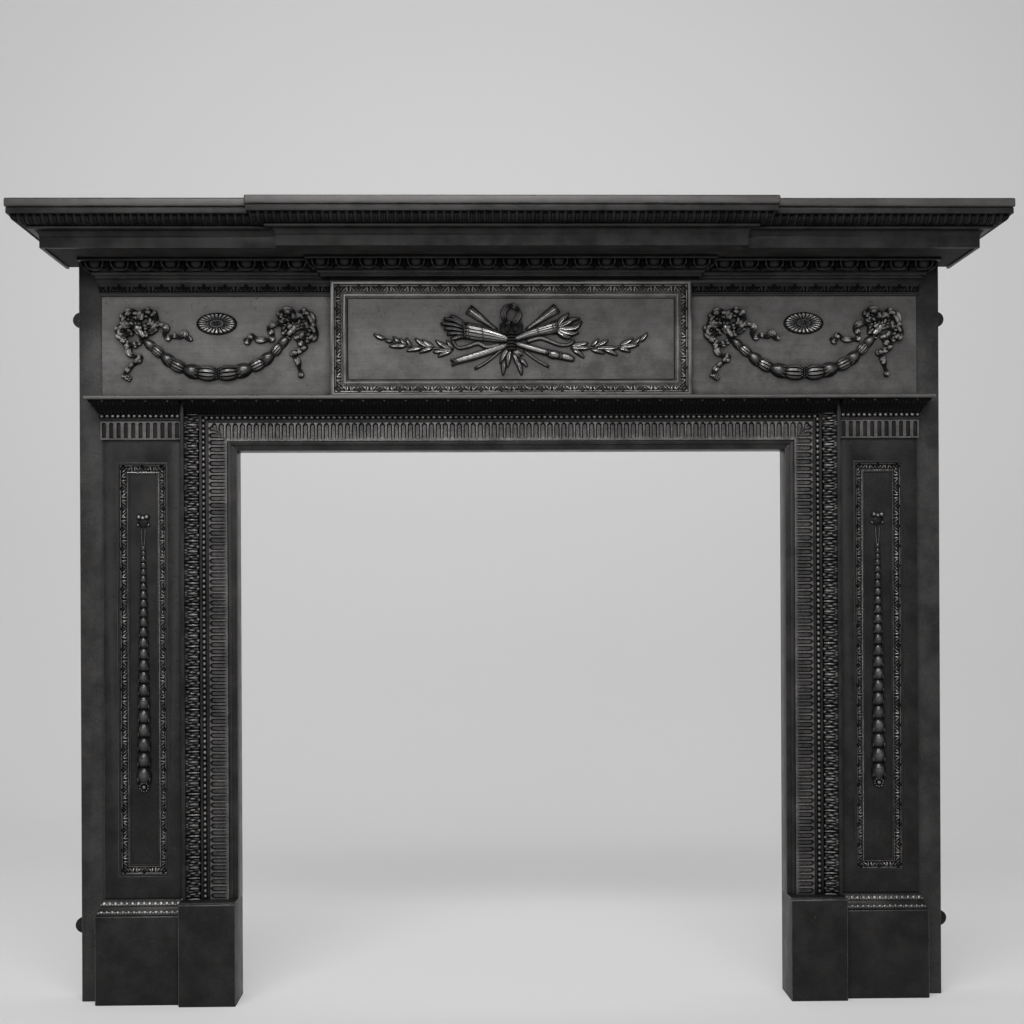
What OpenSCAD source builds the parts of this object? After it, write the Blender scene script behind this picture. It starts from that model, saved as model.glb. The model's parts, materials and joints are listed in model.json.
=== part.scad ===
// Cast iron fireplace surround with a breakfront shelf, a garlanded frieze and panelled pilasters.
// Millimetres. X runs across the front, Y runs back to the wall, Z is up from the hearth.
// Sections are drawn as [p, z], where p is the distance out from the wall.

/* [Shelf] */
// Width of the shelf over its two ends
shelf_w = 1584; // [1540:1:1900]
// Depth of the shelf at its two wings, from the wall
shelf_d = 209; // [190:1:260]
// Depth of the rim round the shelf plate
shelf_t = 14; // [12:0.5:20]
// Thickness of the shelf plate inside its rim
shelf_plate_t = 6; // [4:0.5:9]
// Width of the breakfront in the middle of the shelf
break_w = 834; // [780:1:960]
// How far the breakfront stands in front of the wings
break_out = 19.5; // [10:0.5:30]

/* [Cornice] */
// Height of the flat corona at the foot of the cornice
corona_h = 16; // [10:0.5:30]
// Height of the cove above the corona
cove_h = 11; // [6:0.5:18]
// Height of the band of tongues under the shelf
tongue_h = 13.5; // [8:0.5:20]
// Distance from the edge of the shelf back to the corona
corona_set = 43.5; // [40:0.5:60]
// How far the soffit plate sits above the foot of the corona
soffit_rise = 3; // [1:0.5:6]

/* [Opening] */
// Clear width between the two legs
opening_w = 914; // [760:1:960]
// Clear height under the lintel
opening_h = 914; // [760:1:1060]

/* [Architrave] */
// Width of the moulded architrave round the opening
architrave_w = 90.5; // [86:0.5:110]
// How far the plain inner band stands out from the wall
band_out = 46; // [43:0.5:56]
// Height of the lintel from the opening to the ledge
lintel_h = 81.5; // [80:0.5:110]
// Spacing of the flutes
flute_pitch = 11.57; // [10:0.01:16]
// Width of one flute
flute_w = 6.3; // [3:0.1:8]

/* [Pilasters] */
// Width of each pilaster
pilaster_w = 129.5; // [118:0.5:170]
// How far the face of the pilasters and the frieze stands out from the wall
pilaster_out = 51; // [50:0.5:62]
// Width of the sunk panel, over its moulding
panel_w = 82.5; // [70:0.5:90]
// Height of the sunk panel, over its moulding
panel_h = 685; // [400:1:690]
// Depth of the sunk field behind the face
panel_sink = 8; // [5:0.5:9]
// Height of the fluted necking under the ledge
necking_h = 30.5; // [20:0.5:34]

/* [Plinths] */
// Height of the plinth under each pilaster
plinth_h = 146.5; // [110:0.5:180]
// How far the plinth stands out from the wall
plinth_out = 70; // [66:0.5:90]
// How far the plinth stands past the side of the pilaster
plinth_side = 12.5; // [6:0.5:20]
// Height of the moulding on top of each plinth
base_mould_h = 25; // [20:0.5:34]
// Height of the block under each side of the architrave
block_h = 170; // [130:0.5:180]
// How far the block stands out from the wall
block_out = 84; // [80:0.5:100]
// Chamfer along the top of the block
block_chamfer = 3.5; // [3:0.5:10]

/* [Ledge and frieze] */
// Thickness of the ledge between the legs and the frieze
ledge_t = 6; // [4:0.5:9]
// How far the ledge stands out from the wall
ledge_out = 83; // [78:0.5:96]
// Height of the frieze, from the ledge to the egg and dart
frieze_h = 196; // [180:1:240]
// Height of the leaf moulding along the top of the frieze
cap_h = 28.5; // [24:0.5:34]
// Width of the tablet in the middle of the frieze
tablet_w = 597; // [560:1:640]
// How far the tablet frame stands out from the wall
tablet_out = 68; // [64:0.5:76]
// Width of the moulded frame round the tablet
tablet_frame_w = 29; // [22:0.5:34]
// Depth of the tablet field behind its frame
tablet_sink = 8; // [5:0.5:10]
// Height of the egg and dart course
egg_h = 30.5; // [26:0.5:36]
// How far the top of the egg and dart stands out from the wall
egg_out = 84; // [80:0.5:96]

/* [Casting] */
// Thickness of the castings
wall = 6; // [5:0.5:7]
// Depth of the side returns, from the wall to their front face
return_d = 41; // [38:0.5:44]
// Width of the side returns beside the pilasters
return_w = 40.5; // [30:0.5:60]

/* [Fixings] */
// Radius of the screws
screw_r = 3; // [2.5:0.5:3.5]
// Clearance round a screw in its through hole
screw_gap = 0.3; // [0.2:0.05:0.5]
// Radius of the bosses behind the castings
boss_r = 7; // [6:0.5:8]
// Radius of the wall fixing holes
lug_hole_r = 3.5; // [2.5:0.5:5]
// Radius of the wall fixing lugs
lug_r = 13; // [11:0.5:16]
// Distance of the fixing hole from the side of the surround
lug_reach = 6; // [6:0.5:16]

/* [Hidden] */

$fn = 48;
eps = 0.5;                                     // how far a cutter runs past what it cuts
arc_step = 15;                                 // angle between the points of a curved section

// Places across the front, measured from the middle
half_open = opening_w / 2;
half_arch = half_open + architrave_w;
half_pil = half_arch + pilaster_w;
half_body = half_pil + return_w;
pil_mid = half_arch + pilaster_w / 2;
half_tablet = tablet_w / 2;
joint_x = half_arch + 3;                       // where the plinth meets the block

// Heights
ledge_z = opening_h + lintel_h;
frieze_z = ledge_z + ledge_t;
egg_z = frieze_z + frieze_h;
soffit_z = egg_z + egg_h;
corona_z = soffit_z - soffit_rise;
quirk = 1;                                     // small step between two members of a moulding
fillet_t = 4;                                  // lip between the cove and the tongues
shelf_fillet_h = 8.5;                          // fillet between the tongues and the shelf
shelf_gap_h = 1.5;                             // shadow gap under the shelf
tongue_top = corona_z + corona_h + cove_h + fillet_t + tongue_h + quirk;
shelf_z = tongue_top + shelf_fillet_h + shelf_gap_h;
shaft_z = plinth_h + base_mould_h;
capital_h = 64;                                // from the foot of the fluted necking to the ledge
necking_z = ledge_z - capital_h;
panel_z = shaft_z + (necking_z - shaft_z - panel_h) / 2;

// Depths out from the wall
face_back = pilaster_out - wall;               // back of the pilaster and frieze faces
web_back = band_out - wall;                    // back of the architrave web
field_out = pilaster_out - panel_sink;
tablet_field = tablet_out - tablet_sink;
tie_front = return_d - wall;
tie_back = tie_front - wall;
all_depth = shelf_d + break_out;
rail_t = 8;                                    // thickness of the rail along the back of the shelf
far = 10;                                      // how far a cutting box runs past the surround

// Screws and bolts
screw_head_r = screw_r * 1.9;
screw_head_t = 4;
screw_skin = 2;                                // iron left in front of a blind screw hole
screw_short = 1;                               // how far a screw stops short of its hole's end
side_skin = 3;                                 // iron left where the face is seen from close by
bolt_r = 4;
bolt_gap = 0.3;
bolt_head_r = 7.5;
bolt_head_h = 5;
bolt_past_nut = 3.5;
nut_h = 6.5;
bolt_in = 130;                                 // from the ends of the shaft to the outer bolts
bolt_z = [for (k = [0:2]) shaft_z + bolt_in + k * (necking_z - shaft_z - 2 * bolt_in) / 2];
bolt_p = 24;
leg_rib_p = 10;                                // where the bolted flanges start, out from the wall
side_screw_x = half_pil - 9;
side_screw_in = 45;                            // from the ends of the shaft to the outer screws
side_screw_z = [for (k = [0:2]) shaft_z + side_screw_in + k * (necking_z - shaft_z - 2 * side_screw_in) / 2];
tie_h = 36;
tie_in = 14;                                   // from the ends of the frieze to the tie bars
tie_z = [frieze_z + tie_in, egg_z - tie_in - tie_h];
frieze_boss_x = [half_tablet + 110, half_pil - 60];
tablet_boss_x = 150;
tie_end_in = 24;                               // from the side of the surround to a tie bar's end screw
lug_z = [120, frieze_z + 136];

// ---- helpers -------------------------------------------------------------------------------------
// Puts the wall plane at the back of the box that holds the whole surround
module place() translate([0, all_depth / 2, 0]) children();

// Both sides of the surround from the right-hand one
module side(sign) {
    if (sign > 0) children();
    else mirror([1, 0, 0]) children();
}

// Box from x0 to x1, p0 to p1 out from the wall and z0 to z1
module block(x0, x1, p0, p1, z0, z1) translate([x0, -p1, z0]) cube([x1 - x0, p1 - p0, z1 - z0]);

// Section of [p, z] points run along X
module run_x(pts, x0, x1)
    translate([x0, 0, 0]) rotate([90, 0, 90]) linear_extrude(x1 - x0) polygon([for (q = pts) [-q[0], q[1]]]);

// Outline of [x, z] points run out from the wall
module run_y(pts, p0, p1)
    translate([0, -p0, 0]) rotate([90, 0, 0]) linear_extrude(p1 - p0) polygon(pts);

// Section of [x, p] points run upwards
module run_z(pts, z0, z1)
    translate([0, 0, z0]) linear_extrude(z1 - z0) polygon([for (q = pts) [q[0], -q[1]]]);

// Round bar along the way out from the wall
module pin_y(x, z, p0, p1, r) translate([x, -p0, z]) rotate([90, 0, 0]) cylinder(r = r, h = p1 - p0);

// Round bar across the front
module pin_x(x0, x1, p, z, r) translate([x0, -p, z]) rotate([0, 90, 0]) cylinder(r = r, h = x1 - x0);

function flip(pts) = [for (k = [len(pts) - 1:-1:0]) pts[k]];
function mirror_x(pts) = [for (q = pts) [-q[0], q[1]]];
// Quarter curve bulging outwards, from its foot to its top
function ovolo(p0, z0, p1, z1) =
    [for (a = [0:arc_step:90]) [p0 + (p1 - p0) * sin(a), z0 + (z1 - z0) * (1 - cos(a))]];
// Quarter curve hollowed inwards, from its foot to its top
function cove(p0, z0, p1, z1) =
    [for (a = [0:arc_step:90]) [p0 + (p1 - p0) * (1 - cos(a)), z0 + (z1 - z0) * sin(a)]];

// Section run along the front and mitred back to the wall at both ends. reach is the furthest p,
// which falls at x = half. side_scale narrows the return.
module returned(pts, half, reach, back = 0, side_scale = 1) {
    ends = [for (q = pts) [half - (reach - q[0]) * side_scale, q[1]]];
    intersection() {
        run_x(concat(pts, [[back, pts[len(pts) - 1][1]], [back, pts[0][1]]]), -half, half);
        run_y(concat(ends, flip(mirror_x(ends))), back, reach);
    }
}

// Keeps what lies between two planes across the front
module between(x0, x1) intersection() {
    children();
    block(x0, x1, -far, all_depth + far, -far, shelf_z + shelf_t + far);
}

// ---- shelf and cornice ---------------------------------------------------------------------------
// How far each member stands behind the edge of the shelf
lip_set = 27.5;
cove_set = 34.5;
tongue_set = 6;
fillet_set = 2.5;
gap_set = 5;
core_set = 13;                                 // top of the hollow behind the cornice
core_foot_set = corona_set + wall - quirk;     // foot of the hollow, and edge of the soffit plate
core_foot_h = 4;                               // how far the hollow rises straight past the corona
core_slope = 10;                               // how far it then leans out to the lip

function cornice_face(reach) = let (
    z1 = corona_z + corona_h,
    z2 = z1 + cove_h,
    z3 = z2 + fillet_t,
    z5 = tongue_top + shelf_fillet_h
) concat(
    [[reach - corona_set, corona_z]],
    cove(reach - corona_set, z1, reach - cove_set, z2),
    [[reach - lip_set, z2], [reach - lip_set, z3]],
    ovolo(reach - lip_set - quirk, z3, reach - tongue_set, tongue_top - quirk),
    [[reach - tongue_set, tongue_top], [reach - fillet_set, tongue_top], [reach - fillet_set, z5],
     [reach - gap_set, z5], [reach - gap_set, shelf_z]]
);

// The hollow behind the cornice face, run past both its ends
function cornice_core(reach) = let (
    p = reach - core_foot_set,
    z1 = corona_z + corona_h,
    z2 = z1 + cove_h + fillet_t
) [[p, corona_z - eps], [p, z1 + core_foot_h], [p + core_slope, z2],
   [reach - core_set, z2 + tongue_h], [reach - core_set, shelf_z + eps]];

module cornice_solid(core) {
    wing = core ? cornice_core(shelf_d) : cornice_face(shelf_d);
    centre = core ? cornice_core(all_depth) : cornice_face(all_depth);
    back = core ? -eps : 0;
    set = core ? core_set : fillet_set;
    returned(wing, shelf_w / 2 - set, shelf_d - set, back);
    returned(centre, break_w / 2 - set, all_depth - set, back);
}

module cornice() difference() {
    cornice_solid(false);
    cornice_solid(true);
}

module shelf_outline(set) {
    block(-shelf_w / 2 + set, shelf_w / 2 - set, 0, shelf_d - set, shelf_z, shelf_z + shelf_t);
    block(-break_w / 2 + set, break_w / 2 - set, 0, all_depth - set, shelf_z, shelf_z + shelf_t);
}

shelf_rim_w = 12;

module shelf_plate() color("#2e2e31") place() difference() {
    shelf_outline(0);
    translate([0, eps, -shelf_plate_t]) shelf_outline(shelf_rim_w);
}

module cornice_left() color("#29292c") place() between(-shelf_w, -break_w / 2) cornice();
module cornice_centre() color("#2b2b2e") place() between(-break_w / 2, break_w / 2) cornice();
module cornice_right() color("#29292c") place() between(break_w / 2, shelf_w) cornice();

soffit_half = shelf_w / 2 - core_foot_set;
soffit_mid_half = break_w / 2 - core_foot_set;
rib_end_in = 60;                               // from the end of the soffit plate to the outer ribs
ribs_top = shelf_z + shelf_t - shelf_plate_t;

module soffit_plate() color("#242427") place() {
    p0 = shelf_d - core_foot_set;
    p1 = all_depth - core_foot_set;
    run_z([[-soffit_half, 0], [soffit_half, 0], [soffit_half, p0], [soffit_mid_half, p0], [soffit_mid_half, p1],
           [-soffit_mid_half, p1], [-soffit_mid_half, p0], [-soffit_half, p0]], soffit_z, soffit_z + wall);
}

module shelf_rail() color("#242427") place()
    block(-soffit_half, soffit_half, 0, rail_t, soffit_z + wall, ribs_top);

// The inner pair stands behind the ends of the breakfront
module shelf_ribs() color("#242427") place()
    for (x = [rib_end_in - soffit_half, -soffit_mid_half, 0, soffit_mid_half, soffit_half - rib_end_in])
        block(x - wall / 2, x + wall / 2, rail_t, shelf_d - core_foot_set, soffit_z + wall, ribs_top);

// ---- egg and dart, frieze and tablet -------------------------------------------------------------
bed_fillet_h = 4.5;                            // fillets below the eggs
bed_fillet_set = 24;                           // how far they stand behind the top fillet
bed_step_set = 19;
egg_foot_set = 17;
egg_top_set = 2;
egg_top_h = 5.5;                               // fillet above the eggs

function egg_face(out) = let (z1 = egg_z + bed_fillet_h, z2 = z1 + bed_fillet_h + quirk / 2) concat(
    [[out - bed_fillet_set, egg_z], [out - bed_fillet_set, z1], [out - bed_step_set, z1],
     [out - bed_step_set, z2]],
    ovolo(out - egg_foot_set, z2 + quirk, out - egg_top_set, soffit_z - egg_top_h - quirk / 2),
    [[out, soffit_z - egg_top_h], [out, soffit_z]]
);

egg_wing_half = half_pil + egg_out - pilaster_out;
egg_centre_half = half_tablet + egg_out - pilaster_out + 6;

// What is hollow behind the course, up to its top plate
module egg_hollow() {
    z1 = egg_z + bed_fillet_h;
    top = soffit_z - wall;
    front = all_depth - shelf_d + egg_out;
    block(-half_pil + wall, half_pil - wall, return_d - eps, egg_out - bed_fillet_set - wall, egg_z - eps, top);
    block(-half_pil + wall, half_pil - wall, return_d - eps, egg_out - bed_step_set - wall,
          z1 + bed_fillet_h + quirk / 2, top);
    block(-half_tablet + wall, half_tablet - wall, return_d - eps, front - bed_fillet_set - wall, z1, top);
}

module egg_dart_wing(sign) side(sign) difference() {
    between(egg_centre_half, shelf_w) returned(egg_face(egg_out), egg_wing_half, egg_out, return_d);
    egg_hollow();
}

module egg_dart_left() color("#27272a") place() egg_dart_wing(-1);
module egg_dart_right() color("#27272a") place() egg_dart_wing(1);

module egg_dart_centre() color("#29292c") place() between(-egg_centre_half, egg_centre_half) difference() {
    union() {
        returned(egg_face(egg_out), egg_wing_half, egg_out, return_d);
        returned(egg_face(egg_out + break_out), egg_centre_half, egg_out + break_out, return_d);
    }
    egg_hollow();
}

module frieze(sign) side(sign) difference() {
    union() {
        block(half_tablet, half_pil, face_back, pilaster_out, frieze_z, egg_z);
        block(half_pil - wall, half_pil, return_d, face_back, frieze_z, egg_z);
        for (x = frieze_boss_x, z = tie_z) pin_y(x, z + tie_h / 2, tie_front, face_back, boss_r);
    }
    for (x = frieze_boss_x, z = tie_z)
        pin_y(x, z + tie_h / 2, tie_front - eps, pilaster_out - side_skin, screw_r);
}

module frieze_left() color("#3a3a3d") place() frieze(-1);
module frieze_right() color("#3a3a3d") place() frieze(1);

cap_foot_out = 2;                              // how far the members of the cap stand off the frieze
cap_leaf_out = 6.5;
cap_out = 7.5;
cap_foot_h = 4.5;
cap_flat_h = 9;                                // plain flat above the leaves

function cap_face() = let (z = egg_z - cap_h, z1 = z + cap_foot_h, z2 = egg_z - cap_flat_h) concat(
    [[pilaster_out + cap_foot_out, z], [pilaster_out + cap_foot_out, z1]],
    ovolo(pilaster_out + cap_foot_out, z1 + quirk / 2, pilaster_out + cap_leaf_out, z2),
    [[pilaster_out + cap_out, z2], [pilaster_out + cap_out, egg_z]]
);

module frieze_cap(sign) side(sign) difference() {
    between(half_tablet, half_body)
        returned(cap_face(), half_pil + cap_out, pilaster_out + cap_out, return_d);
    block(0, half_pil, 0, pilaster_out, egg_z - cap_h - eps, egg_z + eps);
}

module frieze_cap_left() color("#333336") place() frieze_cap(-1);
module frieze_cap_right() color("#333336") place() frieze_cap(1);

tablet_gap = 5.5;                              // shadow gap between the tablet frame and the egg and dart
tablet_top = egg_z - tablet_gap;

module tablet_plate() color("#3a3a3d") place() difference() {
    union() {
        block(-half_tablet, half_tablet, face_back, tablet_field, frieze_z, egg_z);
        for (s = [-1, 1], z = tie_z)
            pin_y(s * tablet_boss_x, z + tie_h / 2, tie_front, face_back + quirk, boss_r);
    }
    difference() {
        block(-half_tablet + wall, half_tablet - wall, face_back - eps, tablet_field - wall,
              frieze_z + wall, egg_z - wall);
        for (s = [-1, 1], z = tie_z) pin_y(s * tablet_boss_x, z + tie_h / 2, tie_front, tablet_field, boss_r);
    }
    for (s = [-1, 1], z = tie_z)
        pin_y(s * tablet_boss_x, z + tie_h / 2, tie_front - eps, tablet_field - side_skin, screw_r);
}

// Steps of the tablet frame, as [how far in from its edge, how far back from its front]
tablet_steps = [[0, 0], [6, 2], [20, 5]];

module tablet_frame() color("#303033") place() difference() {
    block(-half_tablet, half_tablet, tablet_field, tablet_out, frieze_z, tablet_top);
    for (k = [1:len(tablet_steps) - 1]) let (set = tablet_steps[k][0])
        block(-half_tablet + set, half_tablet - set, tablet_out - tablet_steps[k][1], tablet_out + eps,
              frieze_z + set, tablet_top - set);
    block(-half_tablet + tablet_frame_w, half_tablet - tablet_frame_w, tablet_field - eps, tablet_out + eps,
          frieze_z + tablet_frame_w, tablet_top - tablet_frame_w);
}

// ---- applied ornament ----------------------------------------------------------------------------
relief = 7;                                    // how far the ornament stands off its field
tablet_mid_z = (frieze_z + tablet_top) / 2;
garland_mid = (half_tablet + half_pil) / 2;
bow_z = frieze_z + 119;
bow_in = 58.25;                                // from the ends of the frieze to the bows
bow_x = (half_pil - half_tablet) / 2 - bow_in; // from the middle of a garland to its bows
garland_span = bow_x - 9;                      // half the distance between the ends of a garland
garland_drop = 68;
garland_lower = 14;                            // how far its ends hang below the bows
garland_half_t = 10;
patera_rx = 32;
patera_rz = 17.5;
patera_lift = 3;                               // how far the paterae sit above the bows

function arc_line(span, z_end, drop, thick, sign) =
    [for (k = [-12:12]) let (t = k / 12)
        [t * span, z_end - drop * (1 - t * t) + sign * thick * (1.2 - abs(t)) / 1.2]];
function ellipse(cx, cz, rx, rz) = [for (a = [0:15:345]) [cx + rx * cos(a), cz + rz * sin(a)]];
// Leaf shape from its stalk at [x, z], pointing along an angle
function leaf(x, z, len, w, ang) =
    [for (q = [[0, 0], [0.3, 0.5], [0.6, 0.42], [1, 0], [0.6, -0.42], [0.3, -0.5]])
        [x + len * q[0] * cos(ang) - w * q[1] * sin(ang), z + len * q[0] * sin(ang) + w * q[1] * cos(ang)]];

module garland(x0) {
    top = arc_line(garland_span, bow_z - garland_lower, garland_drop, garland_half_t, 1);
    low = arc_line(garland_span, bow_z - garland_lower, garland_drop, garland_half_t, -1);
    translate([x0, 0, 0]) run_y(concat(top, flip(low)), pilaster_out, pilaster_out + relief);
}

module garland_left() color("#1f1f22") place() garland(-garland_mid);
module garland_right() color("#1f1f22") place() garland(garland_mid);

// A knot with two loops and two hanging tails
module bow(x0, lean) translate([x0, 0, bow_z]) {
    run_y(leaf(0, 4, 34, 20, 25), pilaster_out, pilaster_out + relief);
    run_y(leaf(0, 4, 34, 20, 155), pilaster_out, pilaster_out + relief);
    run_y([[-9, -4], [9, -4], [9, 12], [-9, 12]], pilaster_out, pilaster_out + relief);
    run_y([[-4, -4], [6, -4], [lean * 14 + 4, -40], [lean * 4 + 4, -62], [lean * 4 - 6, -62],
           [lean * 14 - 7, -40]], pilaster_out, pilaster_out + relief - 2);
}

module ribbon_bows() color("#1f1f22") place()
    for (s = [-1, 1], k = [-1, 1])
        difference() {
            bow(s * garland_mid + k * bow_x, k);
            garland(s * garland_mid);
        }

module oval_paterae() color("#1f1f22") place()
    for (s = [-1, 1])
        run_y(ellipse(s * garland_mid, bow_z + patera_lift, patera_rx, patera_rz),
              pilaster_out, pilaster_out + relief);

// Crossed quiver and torch with two laurel sprays and a bow knot
module tablet_trophy() color("#1f1f22") place() translate([0, 0, tablet_mid_z]) {
    out = tablet_field + relief + 3;
    for (s = [-1, 1]) side(s) {
        run_y([[-16, -8], [0, -14], [104, 12], [112, 38], [96, 46], [0, 12]], tablet_field, out);
        run_y([[-8, -2], [8, 8], [-70, -38], [-84, -38], [-84, -30]], tablet_field, out - 2);
        for (k = [0:5])
            run_y(leaf(80 + k * 24, -8 + k * 3, 34, 20, k % 2 == 0 ? 14 : -12), tablet_field, out - 3);
        run_y([[60, -12], [100, -12], [224, 14], [224, 18], [100, -6], [60, -6]], tablet_field, out - 4);
    }
    run_y(ellipse(0, 36, 16, 18), tablet_field, out);
    run_y(ellipse(0, 2, 12, 22), tablet_field, out + 1);
    run_y([[-18, -46], [0, -14], [18, -46], [0, -40]], tablet_field, out - 2);
}

drop_top = panel_z + panel_h - 94;
drop_len = 444;
drop_steps = 22;
rosette_h = 22;
string_h = 28;                                 // plain strings between the rosette and the husks
berry_rx = 8;
berry_rz = 12;
husk_half = [3, 11];                           // half width of the first husk and of the last

// A string of husks that widens to its foot and ends in a berry
module husk_drop(sign) side(sign) {
    z0 = drop_top - rosette_h - string_h;
    length = drop_len - rosette_h - string_h - 2 * berry_rz;
    half_at = [for (k = [0:drop_steps]) husk_half[0] + (husk_half[1] - husk_half[0]) * k / drop_steps];
    right = [for (k = [0:drop_steps]) [pil_mid + half_at[k], z0 - length * k / drop_steps]];
    left = [for (k = [drop_steps:-1:0]) [pil_mid - half_at[k], z0 - length * k / drop_steps]];
    run_y(concat(right, left), field_out, field_out + relief);
    block(pil_mid - husk_half[1], pil_mid + husk_half[1], field_out, field_out + relief,
          drop_top - rosette_h, drop_top);
    run_y([[pil_mid - 3, z0], [pil_mid + 3, z0], [pil_mid + 5, drop_top - rosette_h],
           [pil_mid - 5, drop_top - rosette_h]], field_out, field_out + relief / 2);
    run_y(ellipse(pil_mid, z0 - length - berry_rz, berry_rx, berry_rz), field_out, field_out + relief);
}

module husk_drop_left() color("#1f1f22") place() husk_drop(-1);
module husk_drop_right() color("#1f1f22") place() husk_drop(1);

// ---- ledge, lintel and architrave ----------------------------------------------------------------
ledge_half = half_pil + ledge_out - pilaster_out - 8;

module ledge() color("#34343a") place()
    block(-ledge_half, ledge_half, return_d, ledge_out, ledge_z, frieze_z);

leaf_h = 21.5;                                 // height of the leaves under the ledge
leaf_foot = 6;                                 // how far their foot stands off the band
under_ledge = ledge_out - 3;

module lintel_leaf() color("#232326") place() {
    half = half_arch - strip_w;
    run_x(concat([[band_out, ledge_z], [band_out, ledge_z - leaf_h]],
                 ovolo(band_out + leaf_foot, ledge_z - leaf_h, under_ledge, ledge_z)), -half, half);
}

// Members of the architrave, as the distance from the opening at which each starts and ends
band_w = 9.5;                                  // plain band beside the opening
band_fillet_w = 4.5;                           // fillet beside it
band_fillet_t = 2.5;
flute_from = 15;
flute_to = 46;
flute_in = 2.5;                                // from the ends of a flute to the edges of its band
flute_band_t = 4;
flute_deep = 2;
bead_at = 54.5;
bead_r = 3;
leaf_from = 62;
leaf_band_t = 12;                              // how far the leaf band stands off the web
strip_w = 5.5;
strip_t = 16;                                  // how far the outer strip stands off the web

// Face of the architrave from the opening outwards, as [d, p]
function architrave_face() = concat(
    [[0, 0], [0, band_out], [band_w, band_out], [band_w, band_out + band_fillet_t],
     [band_w + band_fillet_w, band_out + band_fillet_t], [band_w + band_fillet_w, band_out],
     [flute_from, band_out], [flute_from, band_out + flute_band_t], [flute_to, band_out + flute_band_t],
     [flute_to, band_out], [bead_at - bead_r, band_out]],
    [for (a = [150:-30:30]) [bead_at + bead_r * cos(a), band_out + bead_r * sin(a)]],
    [[bead_at + bead_r, band_out]]
);

leg_z = block_h;
flute_top = band_out + flute_band_t;

// What belongs to the lintel, cut at 45 degrees through the two corners
module lintel_region(grow = 0) run_y([
    [-half_open, opening_h], [half_open, opening_h],
    [half_open + leaf_from, opening_h + leaf_from], [half_open + leaf_from, ledge_z + grow],
    [-half_open - leaf_from, ledge_z + grow], [-half_open - leaf_from, opening_h + leaf_from]
], -eps, ledge_out);

module lintel() color("#2b2b2e") place() difference() {
    intersection() {
        run_x([for (q = concat(architrave_face(), [[lintel_h, band_out], [lintel_h, web_back],
                    [wall, web_back], [wall, 0]])) [q[1], opening_h + q[0]]], -half_arch, half_arch);
        lintel_region(eps);
    }
    flutes = floor(opening_w / flute_pitch / 2);
    for (k = [-flutes:flutes])
        block(k * flute_pitch - flute_w / 2, k * flute_pitch + flute_w / 2, flute_top - flute_deep,
              flute_top + eps, opening_h + flute_from + flute_in, opening_h + flute_to - flute_in);
    for (s = [-1, 1], q = corner_screws_lintel)
        pin_y(s * q[0], q[1], web_back - eps, band_out - screw_skin, screw_r);
}

// The flange along its outer side starts at leg_rib_p and takes the bolts
module architrave(sign) side(sign) difference() {
    run_z([for (q = concat(architrave_face(),
            [[leaf_from, band_out], [leaf_from, band_out + bead_r]],
            ovolo(leaf_from + 2, band_out + flute_band_t, architrave_w - strip_w, band_out + leaf_band_t),
            [[architrave_w - strip_w, band_out + strip_t], [architrave_w, band_out + strip_t],
             [architrave_w, leg_rib_p], [architrave_w - wall, leg_rib_p], [architrave_w - wall, web_back],
             [wall, web_back], [wall, 0]]))
            [half_open + q[0], q[1]]], leg_z, ledge_z);
    lintel_region(eps);
    block(half_open + leaf_from - eps, half_arch - strip_w, band_out, ledge_out,
          ledge_z - leaf_h, ledge_z + eps);
    flutes = floor((opening_h - leg_z) / flute_pitch);
    for (k = [1:flutes])
        block(half_open + flute_from + flute_in, half_open + flute_to - flute_in, flute_top - flute_deep,
              flute_top + eps, leg_z + k * flute_pitch - flute_w / 2, leg_z + k * flute_pitch + flute_w / 2);
    for (z = bolt_z) pin_x(half_arch - wall - eps, half_arch + eps, bolt_p, z, bolt_r + bolt_gap);
    for (q = corner_screws_leg) pin_y(q[0], q[1], web_back - eps, band_out - screw_skin, screw_r);
}

module architrave_left() color("#28282b") place() architrave(-1);
module architrave_right() color("#28282b") place() architrave(1);

// ---- pilasters -----------------------------------------------------------------------------------
necking_t = 4;                                 // how far the necking stands off the pilaster
necking_in = 3;                                // from the ends of its flutes to its edges
necking_quirk_h = 1.5;
bead_fillet_t = 6;                             // fillet under the beads, off the pilaster
bead_fillet_h = 3.5;
capital_leaf_foot = 9;
capital_side = 0.7;                            // how far the capital stands out at its side, against its front

function capital_face() = let (
    z1 = necking_z + necking_h,
    z2 = z1 + necking_quirk_h,
    z3 = z2 + bead_fillet_h
) concat(
    [[pilaster_out + necking_t, necking_z], [pilaster_out + necking_t, z1],
     [pilaster_out + necking_t - quirk, z1], [pilaster_out + necking_t - quirk, z2],
     [pilaster_out + bead_fillet_t, z2], [pilaster_out + bead_fillet_t, z3]],
    [for (a = [-60:30:60])
        [pilaster_out + bead_fillet_t + bead_r * cos(a), z3 + bead_r + bead_r * sin(a)]],
    [[pilaster_out + bead_fillet_t, ledge_z - leaf_h]],
    ovolo(pilaster_out + capital_leaf_foot, ledge_z - leaf_h, under_ledge, ledge_z)
);

module capital(sign) side(sign) difference() {
    between(half_arch, half_body)
        returned(capital_face(), half_pil + (under_ledge - pilaster_out) * capital_side, under_ledge,
                 return_d, capital_side);
    block(0, half_pil, 0, pilaster_out, necking_z - eps, ledge_z + eps);
    flutes = floor((pilaster_w - flute_w) / flute_pitch);
    for (k = [0:flutes - 1]) {
        x = half_arch + (pilaster_w - (flutes - 1) * flute_pitch) / 2 + k * flute_pitch;
        block(x - flute_w / 2, x + flute_w / 2, pilaster_out + necking_t - flute_deep,
              pilaster_out + necking_t + eps, necking_z + necking_in, necking_z + necking_h - necking_in);
    }
}

module capital_left() color("#2b2b2e") place() capital(-1);
module capital_right() color("#2b2b2e") place() capital(1);

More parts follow.
